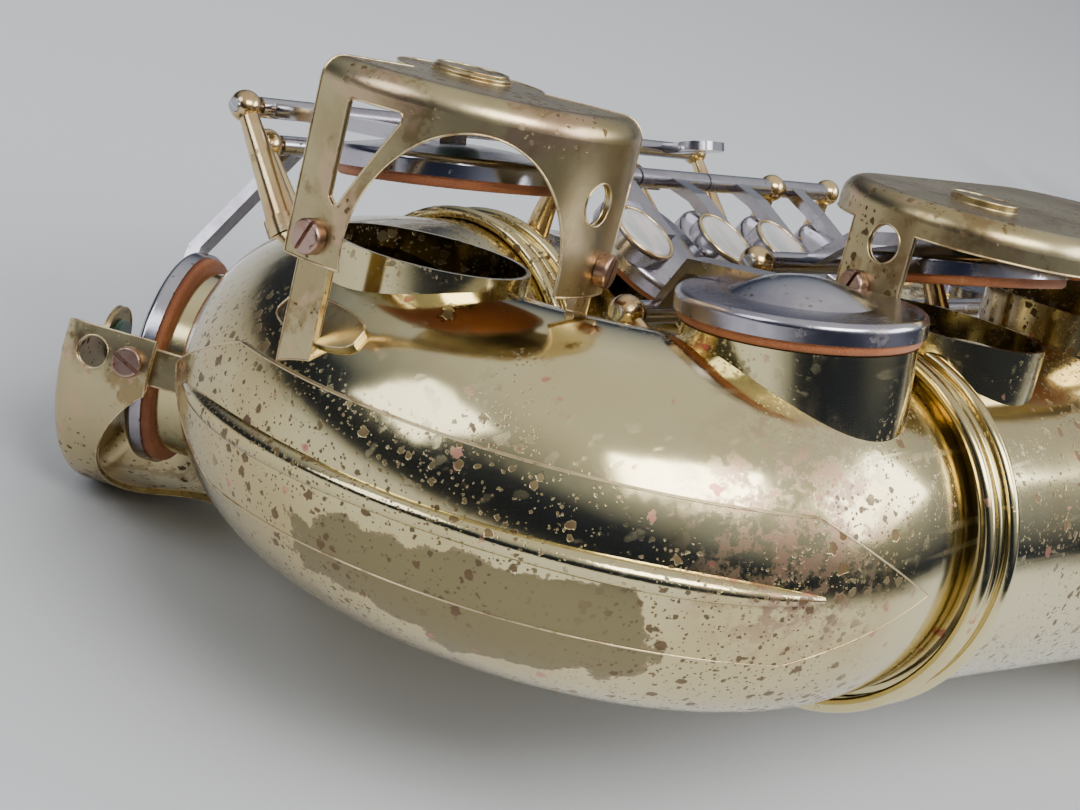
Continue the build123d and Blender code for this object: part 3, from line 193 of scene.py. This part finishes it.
# worn patches under the bow, as (place, reach in metres), and the brown end of its guard plate
WORN_PLACES = (((-88, -12, -14), 0.003), ((-85, -27, -15), 0.005), ((-79, -39, -16), 0.007),
               ((-72, -50, -16), 0.007), ((-66, -60, -16), 0.005), ((-20, 88, -12), 0.004))
BROWN_PLACE = (-40, -80, 11)


def body_brass():
    """Pale gold lacquer: clouding, pitted specks in clusters, pink spots, worn patches and hairlines."""
    f = Finish("body_brass", (0.72, 0.62, 0.33), 1.0, 0.12, Coat_Weight=0.35, Coat_Roughness=0.06)
    cloud = f.noise(9.0, 5, 0.6)
    f.tint(f.between(cloud, 0.38, 0.66), (0.56, 0.44, 0.20))
    f.tint(f.between(f.noise(31, 4, 0.65), 0.5, 0.75), (0.76, 0.69, 0.42), 0.5)
    f.dull(f.between(cloud, 0.35, 0.75, 0.0, 0.5), 0.27)
    # lacquer worn through to bare, olive metal
    worn = f.noise(44, 6, 0.60, distortion=0.3)
    zones = None
    for place, reach in WORN_PLACES:
        zone = f.near(laid(*place), reach, 0.014)
        zones = zone if zones is None else f.math("MAXIMUM", zones, zone)
    patch = f.between(f.math("ADD", worn, f.math("MULTIPLY", zones, 0.30)), 0.690, 0.704)
    f.tint(patch, (0.215, 0.175, 0.082), 0.92)
    f.dull(patch, 0.40)
    rim = f.between(f.math("ADD", worn, f.math("MULTIPLY", zones, 0.30)), 0.672, 0.690)
    f.tint(f.math("SUBTRACT", rim, patch), (0.16, 0.10, 0.05), 0.8)
    # lacquer gone brown and pink where the guard plate ends
    brown = f.near(laid(*BROWN_PLACE), 0.012, 0.020)
    grain = f.between(f.noise(210, 5, 0.75), 0.44, 0.58)
    f.tint(f.math("MULTIPLY", brown, grain), (0.40, 0.22, 0.15), 0.8)
    f.dull(f.math("MULTIPLY", brown, grain), 0.38)
    f.raise_by(patch, -0.00006)
    # specks gather in clusters
    cluster = f.between(f.noise(17, 3, 0.55), 0.42, 0.56)
    for scale, radius, share, color in ((330, 0.42, 0.42, (0.17, 0.10, 0.045)),
                                        (620, 0.40, 0.35, (0.15, 0.11, 0.05)),
                                        (1250, 0.42, 0.40, (0.20, 0.13, 0.07))):
        speck = f.math("MULTIPLY", f.spots(scale, radius, share), cluster)
        f.tint(speck, color, 0.9)
        f.dull(speck, 0.6)
        f.raise_by(speck, -0.00005)
    pink = f.math("MULTIPLY", f.spots(260, 0.34, 0.20), f.between(f.noise(60, 4, 0.7), 0.45, 0.58))
    f.tint(pink, (0.62, 0.22, 0.17), 0.8)
    f.dull(pink, 0.38)
    # fine hairlines along the horn
    hair = f.between(f.noise(260, 2, 0.5, stretch=(0.05, 1.0, 1.0)), 0.62, 0.70)
    f.dull(f.math("MULTIPLY", hair, 0.5), 0.35)
    f.raise_by(hair, -0.000006)
    f.raise_by(f.noise(55, 2, 0.4), 0.00012)
    return f.done()


def guard_brass():
    """Bare sheet brass gone dull, with freckles and darker handling marks."""
    f = Finish("guard_brass", (0.54, 0.45, 0.25), 1.0, 0.31)
    f.tint(f.between(f.noise(22, 5, 0.6), 0.42, 0.62), (0.38, 0.29, 0.14), 0.85)
    f.tint(f.between(f.noise(75, 5, 0.7), 0.52, 0.62), (0.27, 0.18, 0.08), 0.75)
    rubbed = f.between(f.noise(48, 4, 0.6, distortion=0.4), 0.56, 0.62)
    f.tint(rubbed, (0.64, 0.42, 0.27), 0.55)
    f.dull(rubbed, 0.28)
    for scale, share in ((420, 0.30), (900, 0.32)):
        freckle = f.math("MULTIPLY", f.spots(scale, 0.42, share), f.between(f.noise(38, 3), 0.43, 0.53))
        f.tint(freckle, (0.13, 0.08, 0.035), 0.85)
        f.dull(freckle, 0.62)
        f.raise_by(freckle, -0.00004)
    f.raise_by(f.noise(420, 4, 0.6), 0.00004)
    f.raise_by(f.noise(90, 2, 0.5), 0.00010)
    return f.done()


def post_brass():
    f = Finish("post_brass", (0.76, 0.58, 0.30), 1.0, 0.2)
    f.tint(f.between(f.noise(60, 4), 0.45, 0.65), (0.60, 0.38, 0.19), 0.8)
    tarnish = f.between(f.noise(190, 5, 0.7), 0.58, 0.68)
    f.tint(tarnish, (0.25, 0.17, 0.09), 0.7)
    f.dull(tarnish, 0.45)
    f.raise_by(f.noise(700, 2), 0.00001)
    return f.done()


def nickel():
    """Worn nickel plate: cool and cloudy, with faint stains and polishing marks."""
    f = Finish("nickel", (0.52, 0.50, 0.53), 1.0, 0.17)
    cloud = f.noise(40, 5, 0.6)
    f.tint(f.between(cloud, 0.42, 0.64), (0.38, 0.345, 0.40), 0.9)
    f.dull(f.between(cloud, 0.4, 0.7), 0.30)
    stain = f.between(f.noise(120, 5, 0.7), 0.60, 0.70)
    f.tint(stain, (0.38, 0.29, 0.21), 0.55)
    f.dull(stain, 0.4)
    pit = f.math("MULTIPLY", f.spots(800, 0.4, 0.22), f.between(f.noise(60, 3), 0.48, 0.6))
    f.tint(pit, (0.12, 0.09, 0.08), 0.8)
    f.raise_by(pit, -0.00003)
    f.raise_by(f.noise(900, 2, 0.5, stretch=(0.08, 1, 1)), 0.000012)
    return f.done()


def leather():
    """Tan kid leather of the pads, with fine grain and darker handling."""
    f = Finish("pad_leather", (0.43, 0.135, 0.038), 0.0, 0.52, Sheen_Weight=0.15)
    f.tint(f.between(f.noise(60, 4), 0.4, 0.65), (0.27, 0.075, 0.022), 0.75)
    f.tint(f.between(f.noise(230, 4, 0.7), 0.55, 0.7), (0.52, 0.22, 0.08), 0.6)
    grain = f.add("TexVoronoi", feature="DISTANCE_TO_EDGE")
    grain.inputs["Scale"].default_value = 1500
    f.links.new(f.place, grain.inputs["Vector"])
    f.raise_by(f.between(grain.outputs["Distance"], 0.0, 0.25), 0.00006)
    f.raise_by(f.noise(320, 3), 0.00008)
    return f.done()


def felt():
    f = Finish("felt", (0.008, 0.075, 0.040), 0.0, 0.95, Sheen_Weight=0.5, Sheen_Roughness=0.6)
    f.tint(f.between(f.noise(900, 4, 0.7), 0.4, 0.7), (0.022, 0.16, 0.09), 0.8)
    f.tint(f.between(f.noise(150, 3), 0.5, 0.7), (0.004, 0.04, 0.02), 0.6)
    f.raise_by(f.noise(1600, 5, 0.8), 0.00025)
    return f.done()


def pearl():
    """Mother of pearl: soft bands of grey, cream and rose under a polished face."""
    f = Finish("pearl", (0.60, 0.57, 0.54), 0.0, 0.16,
               Coat_Weight=0.6, Coat_Roughness=0.05, Specular_IOR_Level=0.7)
    band = f.noise(85, 3, 0.5, stretch=(1, 0.35, 0.6), distortion=1.4)
    f.tint(f.between(band, 0.40, 0.55), (0.46, 0.46, 0.47), 0.8)
    f.tint(f.between(band, 0.56, 0.66), (0.72, 0.60, 0.56), 0.7)
    f.tint(f.between(f.noise(140, 2, 0.5, distortion=0.8), 0.58, 0.68), (0.50, 0.60, 0.54), 0.5)
    f.raise_by(band, 0.00003)
    return f.done()


def cork():
    f = Finish("cork", (0.40, 0.235, 0.12), 0.0, 0.8)
    f.tint(f.between(f.noise(260, 5, 0.7), 0.42, 0.62), (0.50, 0.32, 0.18), 0.8)
    pore = f.spots(620, 0.42, 0.4)
    f.tint(pore, (0.10, 0.05, 0.025), 0.9)
    f.raise_by(pore, -0.0002)
    f.raise_by(f.noise(900, 3), 0.00006)
    return f.done()


def screw_copper():
    """Screw heads whose brass has gone pink, with grime."""
    f = Finish("screw_copper", (0.48, 0.32, 0.26), 1.0, 0.34)
    f.tint(f.between(f.noise(150, 4), 0.4, 0.62), (0.36, 0.21, 0.14), 0.85)
    f.tint(f.between(f.noise(420, 5, 0.7), 0.56, 0.66), (0.12, 0.07, 0.04), 0.8)
    f.raise_by(f.noise(1100, 3), 0.00003)
    return f.done()


def rod_steel():
    f = Finish("rod_steel", (0.50, 0.49, 0.50), 1.0, 0.24)
    f.tint(f.between(f.noise(130, 4, 0.6), 0.5, 0.68), (0.30, 0.25, 0.22), 0.7)
    f.dull(f.between(f.noise(300, 3), 0.5, 0.7), 0.42)
    f.raise_by(f.noise(1400, 2, 0.5, stretch=(0.1, 1, 1)), 0.00001)
    return f.done()


def edge_polish_and_highlight():
    """Sheet edges and soldered lines, where handling keeps the metal bright; the brightness is partly a painted
    highlight along the edges.
    """
    f = Finish("edge_polish_and_highlight", (0.74, 0.60, 0.36), 1.0, 0.3)
    f.tint(f.between(f.noise(180, 4, 0.7), 0.50, 0.62), (0.40, 0.25, 0.13), 0.85)
    f.raise_by(f.noise(900, 3), 0.00003)
    return f.done()


def stage_paper():
    f = Finish("stage_paper", (0.62, 0.635, 0.66), 0.0, 0.85)
    f.raise_by(f.noise(500, 3), 0.00005)
    return f.done()


FINISHES = {"body_brass": body_brass(), "guard_brass": guard_brass(), "post_brass": post_brass(),
            "nickel": nickel(), "pad_leather": leather(), "felt": felt(), "pearl": pearl(), "cork": cork(),
            "screw_copper": screw_copper(), "rod_steel": rod_steel()}
# bright brass for sheet edges: partly real polish, partly painted highlight
EDGE = edge_polish_and_highlight()


# ---------------------------------------------------------------- reading the CAD frame

def node_points(node):
    mesh = frame["nodes"][node].data
    flat = np.empty(len(mesh.vertices) * 3)
    mesh.vertices.foreach_get("co", flat)
    return flat.reshape(-1, 3)


def solids(node):
    """Vertex numbers of each separate solid of a node, largest first."""
    mesh, points = frame["nodes"][node].data, node_points(node)
    parent = list(range(len(points)))

    def root(i):
        while parent[i] != i:
            parent[i] = parent[parent[i]]
            i = parent[i]
        return i

    same = {}
    for i, p in enumerate(np.round(points / WELD).astype(int)):
        parent[root(i)] = root(same.setdefault(tuple(p), i))
    for polygon in mesh.polygons:
        first = polygon.vertices[0]
        for other in polygon.vertices[1:]:
            parent[root(other)] = root(first)
    groups = defaultdict(list)
    for i in range(len(points)):
        groups[root(i)].append(i)
    return sorted((np.array(g) for g in groups.values()), key=len, reverse=True)


def round_form(points):
    """Centre, axis, radius and half length of a round solid, from its points."""
    centre = (points.max(0) + points.min(0)) / 2
    spread = np.linalg.svd(points - points.mean(0), full_matrices=False)
    lengths = [np.ptp(points @ way) for way in spread[2]]
    odd = int(np.argmax([abs(lengths[i] - (sum(lengths) - lengths[i]) / 2) for i in range(3)]))
    axis = spread[2][odd]
    along = (points - centre) @ axis
    centre = centre + axis * (along.max() + along.min()) / 2
    out = points - centre - np.outer((points - centre) @ axis, axis)
    return Vector(centre), Vector(axis), float(np.linalg.norm(out, axis=1).max()), float(np.ptp(along) / 2)


# ---------------------------------------------------------------- mesh helpers

def piece(name, mesh, body, slot, material=None, smooth=30):
    """A finished piece: smooth-shaded, with a material, riding on a body."""
    obj = bpy.data.objects.new(name, mesh)
    bpy.context.scene.collection.objects.link(obj)
    mesh.materials.append(material or FINISHES[slot])
    mesh.shade_smooth()
    mesh.set_sharp_from_angle(angle=math.radians(smooth))
    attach(obj, body)
    return obj


def lathe(bm, centre, axis, profile, segments=64):
    """Adds a surface of revolution; the profile is (radius, height) pairs along the axis."""
    axis = Vector(axis).normalized()
    side = axis.orthogonal().normalized()
    other = axis.cross(side)
    rings = []
    for radius, height in profile:
        if radius < 1e-7:
            rings.append([bm.verts.new(centre + axis * height)])
            continue
        angles = (2 * math.pi * k / segments for k in range(segments))
        rings.append([bm.verts.new(centre + axis * height + (side * math.cos(a) + other * math.sin(a)) * radius)
                      for a in angles])
    for low, high in zip(rings, rings[1:]):
        if len(low) == len(high) == 1:
            continue
        for k in range(segments):
            n = (k + 1) % segments
            corners = [low[k % len(low)], low[n % len(low)], high[n % len(high)], high[k % len(high)]]
            bm.faces.new(list(dict.fromkeys(corners)))


def mesh_from(bm, name):
    bmesh.ops.recalc_face_normals(bm, faces=bm.faces)
    mesh = bpy.data.meshes.new(name)
    bm.to_mesh(mesh)
    bm.free()
    return mesh


def rounded(radius, low, high, bevel, steps=5):
    """Profile of a disc with rounded edges."""
    corner = [(math.sin(a), math.cos(a)) for a in (math.pi / 2 * k / steps for k in range(steps + 1))]
    below = [(radius - bevel + bevel * s, low + bevel - bevel * c) for s, c in corner]
    above = [(radius - bevel + bevel * s, high - bevel + bevel * c) for s, c in reversed(corner)]
    return [(0, low), *below, *above, (0, high)]


def wire(name, lines, radius, body, slot, material, cyclic=False):
    """Round wires along lists of points, made into one mesh."""
    curve = bpy.data.curves.new(name, "CURVE")
    curve.dimensions = "3D"
    curve.bevel_depth = radius
    curve.bevel_resolution = 2
    curve.use_fill_caps = True
    for line in lines:
        spline = curve.splines.new("POLY")
        spline.points.add(len(line) - 1)
        spline.use_cyclic_u = cyclic
        for point, co in zip(spline.points, line):
            point.co = (*co, 1)
    holder = bpy.data.objects.new(name + "_line", curve)
    bpy.context.scene.collection.objects.link(holder)
    bpy.context.view_layer.update()
    mesh = bpy.data.meshes.new_from_object(holder.evaluated_get(bpy.context.evaluated_depsgraph_get()))
    bpy.data.objects.remove(holder)
    mesh.materials.clear()
    return piece(name, mesh, body, slot, material, smooth=80)


# ---------------------------------------------------------------- CAD nodes: materials

SLOTS = {s["node"]: s["material_slot"] for s in frame["record"]["subparts"]}
BODY_OF = {node: body for body, nodes in frame["record"]["behaviour"]["bodies"].items() for node in nodes}


def welded(node):
    """The node's mesh with its vertices joined, so that its faces share their edges."""
    bm = bmesh.new()
    bm.from_mesh(frame["nodes"][node].data)
    bmesh.ops.remove_doubles(bm, verts=bm.verts, dist=WELD)
    return bm


for node, obj in frame["nodes"].items():
    obj.data.materials.clear()
    obj.data.materials.append(FINISHES[SLOTS[node]])


# ---------------------------------------------------------------- pads

PADDED_KEYS = [node for node in frame["nodes"] if node.endswith("_key")]
SMALLEST_WITH_RESONATOR = 0.009      # pad radius in metres
RESONATOR_SHARE = 0.34               # of the pad's radius


def pad_profile(r, half):
    """Leather pad: a soft rounded edge, a seam groove at the cup and a slight crown on its face."""
    return [(0, half * 0.6), (r * 0.86, half * 0.6), (r + 0.00012, half * 0.2), (r + 0.00022, -half * 0.35),
            (r + 0.0001, -half * 0.75), (r - 0.0006, -half * 1.02), (r * 0.82, -half * 1.10),
            (r * 0.60, -half * 1.06), (r * 0.42, -half * 1.04), (r * 0.36, -half * 0.9), (0, -half * 0.9)]


def resonator_profile(r, half):
    """Domed metal disc in the middle of a pad's face."""
    return [(0, -half * 0.7), (r, -half * 0.7), (r, -half * 1.05), (r * 0.85, -half * 1.12),
            (r * 0.3, -half * 1.22), (r * 0.2, -half * 1.4), (0, -half * 1.42)]


def make_pads():
    for node in PADDED_KEYS:
        name = node[:-len("_key")]
        own_node = name + "_pad" in frame["nodes"]
        metal = node_points(node)
        if own_node:
            disc = node_points(name + "_pad")
        else:
            groups = solids(node)
            if len(groups) < 2:
                continue
            metal, disc = metal[groups[0]], metal[groups[-1]]
        centre, axis, r, half = round_form(disc)
        beside = metal[np.linalg.norm(metal - np.array(centre), axis=1) < r * 1.15]
        if Vector(beside.mean(0) - np.array(centre)).dot(axis) < 0:
            axis = -axis
        bm = bmesh.new()
        lathe(bm, centre, axis, pad_profile(r, half), 96)
        skin = piece(name + "_leather", mesh_from(bm, name), BODY_OF[node], "pad_leather", smooth=50)
        if own_node:
            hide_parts(name + "_pad")
        if r > SMALLEST_WITH_RESONATOR:
            bm = bmesh.new()
            lathe(bm, centre, axis, resonator_profile(r * RESONATOR_SHARE, half), 48)
            piece(name + "_resonator", mesh_from(bm, name), BODY_OF[node], "post_brass")


make_pads()


# ---------------------------------------------------------------- felts and cork

def make_felts():
    bm = bmesh.new()
    for group in solids("guard_bumpers"):
        centre, axis, r, half = round_form(node_points("guard_bumpers")[group])
        lathe(bm, centre, axis, rounded(r, -half, half, min(r, half) * 0.45), 48)
    obj = piece("guard_felts", mesh_from(bm, "guard_felts"), "root", "felt", smooth=60)
    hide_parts("guard_bumpers")


CORK_WALL = 0.0011


def make_cork():
    centre, axis, r, half = round_form(node_points("neck_cork"))
    tube = node_points("neck_tube")
    if Vector(tube.mean(0) - np.array(centre)).dot(axis) > 0:
        axis = -axis
    bore = r - CORK_WALL
    bm = bmesh.new()
    profile = [(bore, -half), (r - 0.0004, -half), (r, -half + 0.0006), (r, half * 0.2),
               (r - 0.00025, half - 0.001), (r - 0.0009, half), (bore, half)]
    lathe(bm, centre, axis, profile, 96)
    obj = piece("mouthpiece_cork", mesh_from(bm, "mouthpiece_cork"), "neck", "cork", smooth=50)
    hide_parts("neck_cork")


make_felts()
make_cork()


# ---------------------------------------------------------------- pearls

PEARL_RING = 0.00045                 # radius of the brass ring's wire, in metres


def ring_at(bm, centre, axis, radius, thick):
    steps = 8
    profile = [(radius + thick * math.cos(a), thick * math.sin(a))
               for a in (2 * math.pi * k / steps for k in range(steps + 1))]
    lathe(bm, centre, axis, profile, 72)


def make_pearls():
    for node in [n for n in frame["nodes"] if n.endswith("_pearl")]:
        name = node[:-len("_pearl")]
        centre, axis, r, half = round_form(node_points(node))
        metal = node_points(name + "_key")
        if Vector(np.array(centre) - metal.mean(0)).dot(axis) < 0:
            axis = -axis
        bm = bmesh.new()
        # a shallow dish for the fingertip
        profile = [(0, -half), (r - 0.0002, -half), (r, -half + 0.0002), (r, half * 0.3),
                   (r - 0.0003, half * 0.75), (r - 0.0010, half), (r * 0.72, half * 0.86),
                   (r * 0.40, half * 0.66), (0, half * 0.55)]
        lathe(bm, centre, axis, profile, 72)
        obj = piece(name + "_pearl_touch", mesh_from(bm, node), BODY_OF[node], "pearl", smooth=50)
        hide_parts(node)
        bm = bmesh.new()
        ring_at(bm, centre + axis * half * 0.55, axis, r + PEARL_RING, PEARL_RING)
        piece(name + "_pearl_ring", mesh_from(bm, node + "_ring"), BODY_OF[node], "post_brass", smooth=60)


make_pearls()


# ---------------------------------------------------------------- pivot screws

SCREW_SLOT = 0.0004                  # half width in metres


def slotted_head(bm, centre, axis, radius, height, turn):
    """A small cheese head: a base disc and two half discs with a screwdriver slot between them."""
    lathe(bm, centre, axis, [(0, 0), (radius, 0), (radius, height * 0.5), (0, height * 0.5)], 32)
    side = axis.orthogonal().normalized()
    way = Matrix.Rotation(turn, 3, axis) @ side
    across = axis.cross(way)
    rim = radius * 0.94
    start = math.asin(min(1.0, SCREW_SLOT / rim))
    for sign in (1, -1):
        arc = [(math.cos(a) * rim, math.sin(a) * rim) for a in
               (start + (math.pi - 2 * start) * k / 12 for k in range(13))]
        layers = []
        for level, shrink in ((height * 0.4, 1.0), (height * 0.86, 1.0), (height, 0.93)):
            layers.append([bm.verts.new(centre + axis * level + (way * x + across * y) * sign * shrink)
                           for x, y in arc])
        bm.faces.new(layers[-1])
        for low, high in zip(layers, layers[1:]):
            for k in range(len(arc)):
                n = (k + 1) % len(arc)
                bm.faces.new([low[k], low[n], high[n], high[k]])


PIVOT_SUNK, PIVOT_HEAD_HEIGHT = 0.0001, 0.0007      # metres
PIVOT_HEAD_SHARE = 1.45                             # of the rod's radius


def make_pivots(node, body):
    bm = bmesh.new()
    for index, group in enumerate(solids(node)):
        centre, axis, r, half = round_form(node_points(node)[group])
        for sign in (1, -1):
            seat = centre + axis * sign * (half - PIVOT_SUNK)
            slotted_head(bm, seat, axis * sign, r * PIVOT_HEAD_SHARE, PIVOT_HEAD_HEIGHT, turn=0.6 + index)
    piece(node + "_pivot_screws", mesh_from(bm, node), body, "rod_steel", smooth=40)


make_pivots("hinge_rods", "root")
make_pivots("neck_key_rod", "neck")


# ---------------------------------------------------------------- bright sheet edges: polish from handling and painted highlight

def sharp_lines(node, angle):
    """Chains of points along the sharp edges of a node's mesh."""
    bm = welded(node)
    limit = math.radians(angle)
    links = defaultdict(list)
    for e in bm.edges:
        if len(e.link_faces) == 2 and e.calc_face_angle(0) > limit:
            a, b = (v.co.copy().freeze() for v in e.verts)
            links[a].append(b)
            links[b].append(a)
    bm.free()
    lines, used = [], set()
    for start in sorted(links, key=lambda p: (len(links[p]) == 2, tuple(p))):
        for second in links[start]:
            if (start, second) in used:
                continue
            line = [start, second]
            used.update(((start, second), (second, start)))
            while len(links[line[-1]]) == 2:
                onward = [p for p in links[line[-1]] if (line[-1], p) not in used]
                if not onward:
                    break
                used.update(((line[-1], onward[0]), (onward[0], line[-1])))
                line.append(onward[0])
            lines.append(line)
    return lines


# radius of the bright line on each sheet piece, in metres; the line is a painted highlight along each sharp
# edge, partly real polish
EDGE_LINES = {"low_c_guard": 0.00022, "low_eb_guard": 0.00022, "bell_key_guard": 0.00022,
              "guard_brackets": 0.00016, "bow_guard_plate": 0.00020, "thumb_hook": 0.0002}
for node, radius in EDGE_LINES.items():
    wire(node + "_edges", sharp_lines(node, SHARP), radius, "root", "guard_brass", EDGE)


# ---------------------------------------------------------------- soldered feet on the bow

def bow_surface(theta, phi, above):
    """Point over the bow: theta along the bend from the body, phi round the tube from its outer line."""
    t, p = math.radians(theta), math.radians(phi)
    r = BOW_R_BODY + (BOW_R_BELL - BOW_R_BODY) * theta / 180 + above
    out = Vector((-math.sin(t), math.cos(t), 0))
    return LAID @ (out * (BEND_RADIUS + r * math.cos(p)) + UP * r * math.sin(p))


def soldered_foot(name, theta, phi, long_deg, wide_deg, thick=1.1):
    """A leaf-shaped sheet foot that follows the bow's surface."""
    bm = bmesh.new()
    steps, across = 24, 8
    grids = []
    for above in (-0.25, thick):
        grid = []
        for i in range(steps + 1):
            u = i / steps
            half = wide_deg * (0.35 + 0.65 * math.sin(math.pi * u) ** 0.5)
            grid.append([bm.verts.new(bow_surface(theta + long_deg * (u - 0.5),
                                                  phi + half * (2 * j / across - 1), above))
                         for j in range(across + 1)])
        grids.append(grid)
    for grid in grids:
        for i in range(steps):
            for j in range(across):
                bm.faces.new([grid[i][j], grid[i + 1][j], grid[i + 1][j + 1], grid[i][j + 1]])
    low, high = grids
    edge = ([(i, 0) for i in range(steps)] + [(steps, j) for j in range(across)]
            + [(i, across) for i in range(steps, 0, -1)] + [(0, j) for j in range(across, 0, -1)])
    for (a, b), (c, d) in zip(edge, edge[1:] + edge[:1]):
        bm.faces.new([low[a][b], low[c][d], high[c][d], high[a][b]])
    rim = [high[i][j].co.copy() for i, j in edge]
    piece(name, mesh_from(bm, name), "root", "guard_brass", smooth=40)
    # bright line round the foot's rim: painted highlight, partly real polish
    wire(name + "_edge", [rim], 0.0002, "root", "guard_brass", EDGE, cyclic=True)


soldered_foot("low_c_guard_foot", 82, 42, 17, 7.5)
soldered_foot("low_eb_guard_foot", 27, -2, 9, 6)


# ---------------------------------------------------------------- stage, light and camera

FLOOR_REACH = 6.0                    # metres from the middle to each edge


def make_stage():
    bm = bmesh.new()
    quarters = ((-1, -1), (1, -1), (1, 1), (-1, 1))
    bm.faces.new([bm.verts.new((x * FLOOR_REACH, y * FLOOR_REACH, 0)) for x, y in quarters])
    mesh = mesh_from(bm, "floor")
    mesh.materials.append(stage_paper())
    floor = bpy.data.objects.new("floor", mesh)
    bpy.context.scene.collection.objects.link(floor)


def make_world():
    """Soft room light: a bright ceiling over dark blue walls, darkest beyond the bow's end."""
    world = bpy.data.worlds.new("room")
    bpy.context.scene.world = world
    world.use_nodes = True
    nodes, links = world.node_tree.nodes, world.node_tree.links
    way = nodes.new("ShaderNodeTexCoord").outputs["Generated"]
    lift = nodes.new("ShaderNodeSeparateXYZ")
    links.new(way, lift.inputs[0])
    ramp = nodes.new("ShaderNodeValToRGB")
    stops = ramp.color_ramp.elements
    stops[0].position, stops[0].color = 0.0, (0.020, 0.026, 0.050, 1)
    stops[1].position, stops[1].color = 0.80, (1.0, 1.0, 1.0, 1)
    for position, color in ((0.24, (0.030, 0.042, 0.085, 1)), (0.42, (0.40, 0.44, 0.50, 1))):
        stops.new(position).color = color
    # the ceiling is dimmer beyond the bow's end than over the bell
    tilt = nodes.new("ShaderNodeMath")
    tilt.operation = "MULTIPLY_ADD"
    links.new(lift.outputs["X"], tilt.inputs[0])
    tilt.inputs[1].default_value = 0.22
    links.new(lift.outputs["Z"], tilt.inputs[2])
    links.new(tilt.outputs[0], ramp.inputs["Fac"])
    links.new(ramp.outputs["Color"], nodes["Background"].inputs["Color"])
    nodes["Background"].inputs["Strength"].default_value = 0.75


def softbox(name, place, target, size, power, color):
    light = bpy.data.lights.new(name, "AREA")
    light.shape = "RECTANGLE"
    light.size, light.size_y = size
    light.energy = power
    light.color = color
    obj = bpy.data.objects.new(name, light)
    bpy.context.scene.collection.objects.link(obj)
    obj.location = place
    obj.rotation_euler = (Vector(target) - Vector(place)).to_track_quat("-Z", "Y").to_euler()


CAMERA_PLACE = (-363, -242, 108)
CAMERA_YAW, CAMERA_PITCH, CAMERA_ROLL = (math.radians(a) for a in (35.0, -13.3, 14.0))
FOCAL_MM, SENSOR_MM = 66.67, 36.0


def make_camera():
    level = math.cos(CAMERA_PITCH)
    look = Vector((math.cos(CAMERA_YAW) * level, math.sin(CAMERA_YAW) * level, math.sin(CAMERA_PITCH)))
    right = Vector((math.sin(CAMERA_YAW), -math.cos(CAMERA_YAW), 0))
    over = right.cross(look)
    right, over = (right * math.cos(CAMERA_ROLL) + over * math.sin(CAMERA_ROLL),
                   over * math.cos(CAMERA_ROLL) - right * math.sin(CAMERA_ROLL))
    turn = Matrix((laid_way(right), laid_way(over), -laid_way(look))).transposed()
    data = bpy.data.cameras.new("camera")
    data.lens, data.sensor_width = FOCAL_MM, SENSOR_MM
    data.clip_start = 0.02
    camera = bpy.data.objects.new("camera", data)
    bpy.context.scene.collection.objects.link(camera)
    camera.matrix_world = Matrix.Translation(laid(*CAMERA_PLACE)) @ turn.to_4x4()
    bpy.context.scene.camera = camera


make_stage()
make_world()
LIT_POINT = laid(-30, 0, 0)
# name, place from the lit point and size in metres, watts, colour
SOFTBOXES = (("key", (-0.35, -0.75, 1.15), (0.9, 0.5), 16, (1.0, 0.98, 0.95)),
             ("window", (0.9, -0.9, 0.9), (1.0, 0.6), 12, (0.93, 0.97, 1.0)),
             ("fill", (-1.1, 0.6, 0.8), (0.7, 0.7), 6, (0.90, 0.94, 1.0)))
for name, offset, size, watts, color in SOFTBOXES:
    softbox(name, LIT_POINT + Vector(offset), LIT_POINT, size, watts, color)
make_camera()
